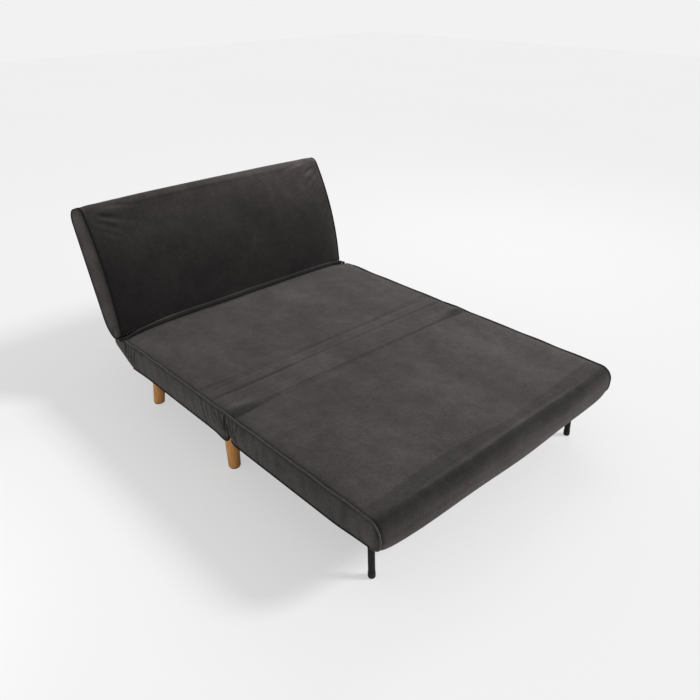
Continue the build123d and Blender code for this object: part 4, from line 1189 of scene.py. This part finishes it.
def gusset_rows(side):
    """Places of the gathered cloth in the notch: wide at the top, drawn in low down."""
    rows = []
    for share in spread(0, 1, 30):
        z = TOP_SEAM - 0.002 - 0.084 * share
        low = ease(0.42, 0.72, share)
        half = 0.030 - 0.0225 * low
        row = []
        for across in spread(-1, 1, 28):
            place_y = FOLD.y + (half * across + 0.002 * low)
            x = side_surface(place_y, z, (TOP_SEAM - z) / DEPTH) + 0.0008
            x -= 0.0030 * ease(0.78, 1.0, abs(across)) * (1 - low)
            x -= low * (0.0035 + 0.0045 * across**2 + 0.0050 * (share - 0.5))
            row.append((side * x, place_y, z + 0.003 * low * across**2))
        rows.append(row)
    return rows


def lining_rows(side):
    """Places of the dark cloth behind a gusset: narrow at the top, wider low down."""
    rows = []
    for share in spread(0, 1, 12):
        z = TOP_SEAM - 0.020 - 0.088 * share
        half = 0.010 + 0.028 * ease(0.5, 1.0, share)
        inner = side_half(z) - 0.014 - 0.010 * share
        rows.append(
            [(side * (inner - 0.006 * across**2), FOLD.y + half * across, z) for across in spread(-1, 1, 14)]
        )
    return rows


class SofaFoldBand(bpy.types.Operator):
    """Build the cloth that runs on over the fold, and the gathered gussets at its ends"""

    bl_idname = "object.sofa_fold_band"
    bl_label = "Fold Band"

    def execute(self, context):
        reach, thin = 0.046, 0.0010
        band = sheet_shell("fold_band", band_rows(reach), "bed corduroy")
        paint_seam_shade(band, bed_seams)
        over_fold(band, "corduroy", flat=(2 * HALF_WIDTH, 2 * reach))
        for side, side_name in ((-1, "left"), (1, "right")):
            gusset = sheet_shell(f"fold_gusset_{side_name}", gusset_rows(side), "bed corduroy", thin)
            over_fold(gusset, "corduroy", flat=(0.060, 0.090), area=0.0040)
            lining = sheet_shell(f"fold_lining_{side_name}", lining_rows(side), "dark gusset", thin)
            over_fold(lining, "lining_cloth", flat=(0.070, 0.090), area=0.0038)
        return {"FINISHED"}


def paint_tail_shade(piece):
    """Gives the seat's tail, under the back, a dark cloth as painted shade."""
    piece.data.materials.append(finish_of("dark gusset"))
    for face in piece.data.polygons:
        middle = face.center
        if abs(face.normal.x) > 0.6 and middle.z < TOP_SEAM - 0.010:
            continue
        if middle.y > groove_line(middle.x) - 0.001 + 0.10 * max(0.0, TOP_SEAM - 0.004 - middle.z):
            face.material_index = 1


def seat_seams(place):
    """Distance of a place on the seat from its side seams or from the crevice behind it."""
    crevice = 0.05
    # painted shade towards the crevice behind the seat
    if place.z > TOP_SEAM - 0.01:
        crevice = max(0.0, groove_line(place.x) - 0.011 - place.y) + 0.001
    return min(bed_seams(place), crevice)


def paint_seam_shade(piece, distance_of):
    """Stores how close each vertex lies to a seam or crevice, for painted shade there and the darker, crushed pile
    at the seams.
    """
    mesh = piece.data
    layer = mesh.attributes.new("Seam", "FLOAT", "POINT")
    shade_reach = 0.0080
    nearness = [math.exp(-((distance_of(v.co) / shade_reach) ** 2)) for v in mesh.vertices]
    layer.data.foreach_set("value", nearness)


def bed_seams(place):
    """Distance of a place on the bed from the nearest side seam."""
    from_side = side_half(place.z, place.y) - abs(place.x)
    if place.z > TOP_SEAM - 0.004 or from_side > 0.004:
        return max(from_side, 0.0) if place.z > BOTTOM_SEAM + 0.03 else 0.05
    nose = math.hypot(place.y - NOSE_Y - NOSE_TOP_RADIUS, place.z - TOP_SEAM + NOSE_TOP_RADIUS)
    at_nose = place.y < NOSE_Y + NOSE_TOP_RADIUS and place.z > TOP_SEAM - NOSE_TOP_RADIUS
    round_nose = NOSE_TOP_RADIUS - nose if at_nose else 0.05
    return min(TOP_SEAM - place.z, place.z - BOTTOM_SEAM, max(round_nose, 0.0))


def piping_tree():
    """Geometry Nodes: a round cord along the piece's edges, finished with a material."""
    tree = bpy.data.node_groups.new("Piping", "GeometryNodeTree")
    tree.interface.new_socket("Geometry", in_out="INPUT", socket_type="NodeSocketGeometry")
    radius = tree.interface.new_socket("Radius", in_out="INPUT", socket_type="NodeSocketFloat")
    radius.default_value = 0.003
    sides = tree.interface.new_socket("Sides", in_out="INPUT", socket_type="NodeSocketInt")
    sides.default_value = 12
    material = tree.interface.new_socket("Material", in_out="INPUT", socket_type="NodeSocketMaterial")
    tree.interface.new_socket("Geometry", in_out="OUTPUT", socket_type="NodeSocketGeometry")
    source = tree.nodes.new("NodeGroupInput")
    out = tree.nodes.new("NodeGroupOutput")
    to_curve = tree.nodes.new("GeometryNodeMeshToCurve")
    circle = tree.nodes.new("GeometryNodeCurvePrimitiveCircle")
    sweep = tree.nodes.new("GeometryNodeCurveToMesh")
    sweep.inputs["Fill Caps"].default_value = True
    smooth = tree.nodes.new("GeometryNodeSetShadeSmooth")
    realize = tree.nodes.new("GeometryNodeRealizeInstances")
    paint = tree.nodes.new("GeometryNodeSetMaterial")
    link = tree.links.new
    link(source.outputs["Geometry"], to_curve.inputs["Mesh"])
    link(source.outputs["Radius"], circle.inputs["Radius"])
    link(source.outputs["Sides"], circle.inputs["Resolution"])
    link(to_curve.outputs["Curve"], sweep.inputs["Curve"])
    link(circle.outputs["Curve"], sweep.inputs["Profile Curve"])
    link(sweep.outputs["Mesh"], smooth.inputs["Geometry"])
    link(smooth.outputs["Geometry"], realize.inputs["Geometry"])
    link(realize.outputs["Geometry"], paint.inputs["Geometry"])
    link(source.outputs["Material"], paint.inputs["Material"])
    link(paint.outputs["Geometry"], out.inputs["Geometry"])
    names = {item.name: item.identifier for item in tree.interface.items_tree if item.in_out == "INPUT"}
    return tree, names


piping_group = {}


def piping(name, points, radius, finish, sides=12):
    """A round trim of cloth swept along a path of places."""
    if not piping_group:
        piping_group["tree"], piping_group["names"] = piping_tree()
    tree, names = piping_group["tree"], piping_group["names"]
    mesh = bpy.data.meshes.new(name)
    mesh.from_pydata([tuple(p) for p in points], [(i, i + 1) for i in range(len(points) - 1)], [])
    piece = bpy.data.objects.new(name, mesh)
    modifier = piece.modifiers.new("Piping", "NODES")
    modifier.node_group = tree
    modifier[names["Radius"]] = radius
    modifier[names["Sides"]] = sides
    modifier[names["Material"]] = finish_of(finish)
    bpy.context.scene.collection.objects.link(piece)
    flatten(piece)
    face_outwards(piece.data)
    return piece


def seam_x(z, y):
    """How far out the middle of the piping on a side seam lies."""
    return side_half(z, y) + 0.0006


def top_seam_line(side):
    """Places of the piping along a top side seam, from the rear to the nose."""
    places = []
    edge = side * HALF_WIDTH
    for y in spread(groove_line(edge) - 0.006, NOSE_Y + NOSE_TOP_RADIUS, 240):
        slack = 0.0007 * math.sin(31 * y) - 0.0010 * math.exp(-(((y - FOLD.y) / 0.010) ** 2))
        height = slack + 0.5 * crease_height(edge, y) + hinge_hump(edge, y) - corner_droop(edge, y)
        wave = 0.0006 * math.sin(43 * y + side)
        places.append((side * (seam_x(TOP_SEAM, y) + wave), y, TOP_SEAM + height + 0.0006))
    return places


def nose_seam_line(side, columns):
    """Places of the piping round the nose, from its top to its underside."""
    around = [column[0] for column in reversed(columns)] + [column[1] for column in columns]
    return [(side * seam_x(z, y), y - 0.0012, z) for y, z in around]


def low_seam_line(side, columns):
    """Places of the black edging along a lower side seam."""
    return [(side * (seam_x(z, y) - 0.001), y, z - 0.0010) for _, (y, z) in columns]


class SofaPiping(bpy.types.Operator):
    """Sweep the piping along the side seams and the black edging below them"""

    bl_idname = "object.sofa_piping"
    bl_label = "Piping"

    def execute(self, context):
        sizes = context.scene.sofa_sizes
        foot, seat = foot_columns(), seat_columns()
        nose = foot[:NOSE_STEPS]
        for side, side_name in ((-1, "left"), (1, "right")):
            line = top_seam_line(side) + nose_seam_line(side, nose)
            cord = piping(f"side_piping_{side_name}", line, sizes.piping_radius, "corduroy piping")
            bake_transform(cord)
            for body, columns in (("foot", foot[NOSE_STEPS - 1 : -4]), ("seat", seat[3:112])):
                line = low_seam_line(side, columns)
                edging = piping(f"{body}_edging_{side_name}", line, sizes.edging_radius, "black edging", 10)
                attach(edging, "foot_section" if body == "foot" else body)
        return {"FINISHED"}


class SofaBackPiping(bpy.types.Operator):
    """Sweep the back's piping round its side panels"""

    bl_idname = "object.sofa_back_piping"
    bl_label = "Back Piping"

    def execute(self, context):
        radius = 0.85 * context.scene.sofa_sizes.piping_radius
        shortest_step = 0.0015
        columns = back_columns()
        outline = [pair[0] for pair in columns] + [pair[1] for pair in reversed(columns)]
        for side, side_name in ((-1, "left"), (1, "right")):
            x = side * (BACK_HALF + 0.0006)
            line = []
            for point in outline:
                place = Vector((x, *back_point(*point)))
                if not line or (place - line[-1]).length > shortest_step:
                    line.append(place)
            cord = piping(f"back_piping_{side_name}", line, radius, "black edging")
            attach(cord, "back")
        return {"FINISHED"}


class SofaHingeRoll(bpy.types.Operator):
    """Build the soft roll of cloth between the seat and the back, with its dark end tabs"""

    bl_idname = "object.sofa_hinge_roll"
    bl_label = "Hinge Roll"

    def execute(self, context):
        reach, around = 0.594, 24
        vertices, panels = [], []
        stations = spread(-reach, reach, 130)
        for x in stations:
            side = abs(x) / reach
            taper = 1 - 0.75 * ease(0.975, 1.0, side)
            unevenness = 1 + 0.04 * math.sin(17 * x + 1) + 0.025 * math.sin(43 * x)
            radius = (0.0138 - 0.0045 * side**5) * taper * unevenness
            centre_y = groove_line(x) + 0.0088
            centre_z = TOP_SEAM + 0.0080 - (0.0120 if x < 0 else 0.0065) * side**5
            for k in range(around):
                turn = 2 * math.pi * k / around
                z = centre_z + 0.92 * radius * math.sin(turn)
                limit = back_point(BACK_FRONT, (z - RECLINE.z) / math.cos(LEAN))[0] + 0.002
                vertices.append((x, min(centre_y + radius * math.cos(turn), limit), z))
        for u0, u1 in zip(stations, stations[1:]):
            for k in range(around):
                v0, v1 = k / 300, (k + 1) / 300
                panels.append(((u0, v0), (u0, v1), (u1, v1), (u1, v0)))
        panels += 2 * [tuple((stations[0], k / 300) for k in range(around))]
        faces = ring_faces(len(stations), around)
        roll = mesh_object("hinge_roll", vertices, faces, panels, "bed corduroy")
        # painted shade on the roll below its lit top
        lit_top = TOP_SEAM + 0.0085
        paint_seam_shade(roll, lambda place: max(0.0, place.z - lit_top + 0.006 * (abs(place.x) / reach) ** 5))
        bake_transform(roll)
        for side, side_name, middle, height in ((-1, "left", 0.043, -0.012), (1, "right", 0.042, -0.006)):
            tab_y, tab_z = SEAT_REAR + middle, TOP_SEAM + height
            loop = [
                (side * (0.588 + 0.018 * math.sin(turn)), tab_y - 0.009 * math.cos(turn), tab_z)
                for turn in spread(0, math.pi, 16)
            ]
            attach(piping(f"hinge_tab_{side_name}", loop, 0.0036, "black edging", 10), "seat")
        return {"FINISHED"}


def lathe(name, profile, start, top, segments, finish):
    """Turns a profile of (distance along, radius) about the line from start to top."""
    axis = (top - start).normalized()
    across = axis.orthogonal().normalized()
    other = axis.cross(across)
    vertices, panels = [], []
    for along, radius in profile:
        for k in range(segments):
            turn = 2 * math.pi * k / segments
            spoke = across * math.cos(turn) + other * math.sin(turn)
            vertices.append(start + axis * along + spoke * radius)
    for along, _ in profile[:-1]:
        panels += [tuple((v / 20, along) for v in (k, k + 1, k + 1, k)) for k in range(segments)]
    panels += 2 * [((0, 0),) * segments]
    return mesh_object(name, vertices, ring_faces(len(profile), segments), panels, finish)


def ring_middle(node, at_top=False):
    """Middle of a CAD piece's lowest or highest ring of vertices."""
    low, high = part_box(node)
    places = np.array([v.co for v in frame["nodes"][node].data.vertices])
    hair = 1e-4
    ring = places[places[:, 2] > high.z - hair] if at_top else places[places[:, 2] < low.z + hair]
    return Vector((ring.min(0) + ring.max(0)) / 2)


class SofaWoodenLegs(bpy.types.Operator):
    """Turn the four wooden legs"""

    bl_idname = "object.sofa_wooden_legs"
    bl_label = "Wooden Legs"

    def execute(self, context):
        sizes = context.scene.sofa_sizes
        for place in ("front_left", "front_right", "rear_left", "rear_right"):
            node = f"wood_leg_{place}"
            foot, top = ring_middle(node), ring_middle(node, at_top=True)
            tall = (top - foot).length
            slope = (sizes.leg_top - sizes.leg_foot) / 2 / tall
            base = sizes.leg_foot / 2
            profile = [(0.0, base - 0.0022), (0.0006, base - 0.0010), (0.0018, base)]
            profile += [(along, base + slope * along) for along in (0.0080, 0.0098)]
            profile += [(0.0106, base - 0.0010), (0.0118, base - 0.0010), (0.0126, base + slope * 0.0126)]
            profile += [(along, base + slope * along) for along in spread(0.016, tall - 0.004, 14)]
            profile += [(tall - 0.001, base + slope * tall), (tall, base + slope * tall - 0.0008)]
            piece = lathe(f"turned_leg_{place}", profile, foot, top, 56, "leg wood")
            crisp(piece)
            piece_on(piece, "seat", "leg_wood", node)
        return {"FINISHED"}


def crisp(piece, angle=32):
    """Keeps sharp corners sharp on a smooth-shaded piece."""
    piece.data.set_sharp_from_angle(angle=math.radians(angle))


class SofaMetalLegs(bpy.types.Operator):
    """Finish the fold-away metal legs with their rounded plastic caps"""

    bl_idname = "object.sofa_metal_legs"
    bl_label = "Metal Legs"

    def execute(self, context):
        for side_name in ("left", "right"):
            node = f"foot_leg_cap_{side_name}"
            foot = ring_middle(node)
            lean = Vector((0, 0.0349, 1)).normalized()
            top = foot + lean * 0.022
            profile = [
                (0.0, 0.0070),
                (0.0004, 0.0090),
                (0.0016, 0.0108),
                (0.0036, 0.0117),
                (0.0060, 0.0120),
                (0.0196, 0.0120),
                (0.0212, 0.0118),
                (0.0220, 0.0112),
            ]
            cap = lathe(f"leg_cap_{side_name}", profile, foot, top, 40, "black plastic")
            crisp(cap, 40)
            piece_on(cap, "fold_away_legs", "black_plastic", node)
        return {"FINISHED"}


class SofaHardware(bpy.types.Operator):
    """Give every piece of the frame its finish"""

    bl_idname = "object.sofa_hardware"
    bl_label = "Frame and Hardware"

    def execute(self, context):
        slots = {part["node"]: part["material_slot"] for part in frame["record"]["subparts"]}
        for name, node in frame["nodes"].items():
            finish = finish_of(SLOT_FINISHES[slots[name]])
            node.data.materials.clear()
            node.data.materials.append(finish)
        return {"FINISHED"}


def add_sun(name, towards, strength, spread_angle):
    """A far, wide light shining from a direction."""
    lamp = bpy.data.lights.new(name, "SUN")
    lamp.energy = strength
    lamp.angle = math.radians(spread_angle)
    light = bpy.data.objects.new(name, lamp)
    light.rotation_mode = "QUATERNION"
    light.rotation_quaternion = Vector(towards).to_track_quat("Z", "Y")
    bpy.context.scene.collection.objects.link(light)


def add_light(name, place, target, size, power):
    """A soft rectangular lamp at a place, turned to its target."""
    lamp = bpy.data.lights.new(name, "AREA")
    lamp.shape = "RECTANGLE"
    lamp.size, lamp.size_y = size
    lamp.energy = power
    light = bpy.data.objects.new(name, lamp)
    light.location = place
    light.rotation_mode = "QUATERNION"
    light.rotation_quaternion = (Vector(target) - Vector(place)).to_track_quat("-Z", "Y")
    bpy.context.scene.collection.objects.link(light)


BACKDROP = (0.887, 0.887, 0.887, 1)


def add_camera(scene):
    """The camera, at the place and turn fitted to the photograph."""
    camera_data = bpy.data.cameras.new("Camera")
    camera_data.lens = 35.51
    camera_data.sensor_width = 36
    camera_data.clip_end = 60
    camera = bpy.data.objects.new("Camera", camera_data)
    yaw, pitch, roll = math.radians(42.42), math.radians(28.87), math.radians(-0.358)
    forward = Vector((math.sin(yaw) * math.cos(pitch), math.cos(yaw) * math.cos(pitch), -math.sin(pitch)))
    right = Vector((math.cos(yaw), -math.sin(yaw), 0))
    up = right.cross(forward)
    turned_right = right * math.cos(roll) + up * math.sin(roll)
    turned_up = up * math.cos(roll) - right * math.sin(roll)
    turn = Matrix((turned_right, turned_up, -forward)).transposed().to_4x4()
    camera.matrix_world = Matrix.Translation((-1.5766, -2.3870 + SEAT_REAR, 1.5960)) @ turn
    scene.collection.objects.link(camera)
    scene.camera = camera


def floor_material(level):
    """The pale floor, which glows a little to the camera so that it meets the backdrop."""
    material, tree, shader = new_material("studio floor")
    cloud = noise(tree, object_place(tree), 0.5, 2.0)
    speckled_base(tree, shader, cloud, level, (0.2, 0.99), (0.8, 1.01))
    set_inputs(shader, Roughness=0.9, Specular_IOR_Level=0.0)
    glow = add_node(tree, "ShaderNodeEmission")
    set_inputs(glow, Color=BACKDROP)
    seen = add_node(tree, "ShaderNodeLightPath").outputs["Is Camera Ray"]
    blend = add_node(tree, "ShaderNodeMixShader")
    tree.links.new(math_node(tree, "MULTIPLY", seen, 0.56), blend.inputs["Fac"])
    tree.links.new(shader.outputs[0], blend.inputs[1])
    tree.links.new(glow.outputs[0], blend.inputs[2])
    tree.links.new(blend.outputs[0], tree.nodes["Material Output"].inputs["Surface"])
    return material


def add_world(scene):
    """White light from all round, and a pale grey backdrop for the camera."""
    world = bpy.data.worlds.new("Studio")
    world.use_nodes = True
    tree = world.node_tree
    background = tree.nodes["Background"]
    set_inputs(background, Color=(1.0, 1.0, 1.0, 1), Strength=0.55)
    shown = add_node(tree, "ShaderNodeBackground")
    set_inputs(shown, Color=BACKDROP)
    mix = add_node(tree, "ShaderNodeMixShader")
    seen = add_node(tree, "ShaderNodeLightPath").outputs["Is Camera Ray"]
    tree.links.new(seen, mix.inputs["Fac"])
    tree.links.new(background.outputs[0], mix.inputs[1])
    tree.links.new(shown.outputs[0], mix.inputs[2])
    tree.links.new(mix.outputs[0], tree.nodes["World Output"].inputs["Surface"])
    scene.world = world


class SofaStage(bpy.types.Operator):
    """Set the camera, the pale floor and the soft studio light"""

    bl_idname = "object.sofa_stage"
    bl_label = "Stage"

    def execute(self, context):
        scene = context.scene
        add_camera(scene)
        floor_mesh = bpy.data.meshes.new("floor")
        reach = 14.0
        corners = [(-reach, -reach, 0), (reach, -reach, 0), (reach, reach, 0), (-reach, reach, 0)]
        floor_mesh.from_pydata(corners, [], [(0, 1, 2, 3)])
        floor = bpy.data.objects.new("floor", floor_mesh)
        scene.collection.objects.link(floor)
        floor_mesh.materials.append(floor_material(tuple(scene.sofa_colours.floor)))
        add_world(scene)
        add_sun("key", (1.0, -0.9, 1.0), 2.65, 14)
        add_light("right rear", (2.4, 0.6, 2.6), (0.6, 0.5, 0.35), (1.3, 1.3), 18)
        add_light("low left", (-2.1, 0.1, 0.32), (-0.5, 0.1, 0.12), (0.7, 0.3), 4.2)
        add_light("left rear fill", (-3.4, 2.2, 1.3), (-0.4, 0.2, 0.25), (2.0, 1.4), 3)
        scene.view_settings.view_transform = "Standard"
        return {"FINISHED"}


class SofaPanel(bpy.types.Panel):
    """Sidebar panel listing the sofa bed's pieces"""

    bl_idname = "VIEW3D_PT_sofa_bed"
    bl_label = "Sofa Bed"
    bl_space_type = "VIEW_3D"
    bl_region_type = "UI"
    bl_category = "Sofa Bed"

    def draw(self, context):
        layout = self.layout
        for group in (context.scene.sofa_sizes, context.scene.sofa_colours):
            box = layout.box()
            for name in group.__annotations__:
                box.prop(group, name)
        for operator in PIECES:
            layout.operator(operator.bl_idname)


PIECES = (
    SofaStage,
    SofaHardware,
    SofaSeatCushion,
    SofaFootCushion,
    SofaFoldBand,
    SofaBackCushion,
    SofaPiping,
    SofaBackPiping,
    SofaHingeRoll,
    SofaWoodenLegs,
    SofaMetalLegs,
)
CLASSES = (SofaSizes, SofaColours, *PIECES, SofaPanel)


def register():
    for item in CLASSES:
        bpy.utils.register_class(item)
    bpy.types.Scene.sofa_sizes = bpy.props.PointerProperty(type=SofaSizes)
    bpy.types.Scene.sofa_colours = bpy.props.PointerProperty(type=SofaColours)


def unregister():
    del bpy.types.Scene.sofa_colours
    del bpy.types.Scene.sofa_sizes
    for item in reversed(CLASSES):
        bpy.utils.unregister_class(item)


def main():
    """Builds every piece in order."""
    register()
    for operator in PIECES:
        family, name = operator.bl_idname.split(".")
        result = getattr(getattr(bpy.ops, family), name)()
        if "FINISHED" not in result:
            raise RuntimeError(f"{operator.bl_label} did not finish")


if __name__ == "__main__":
    main()
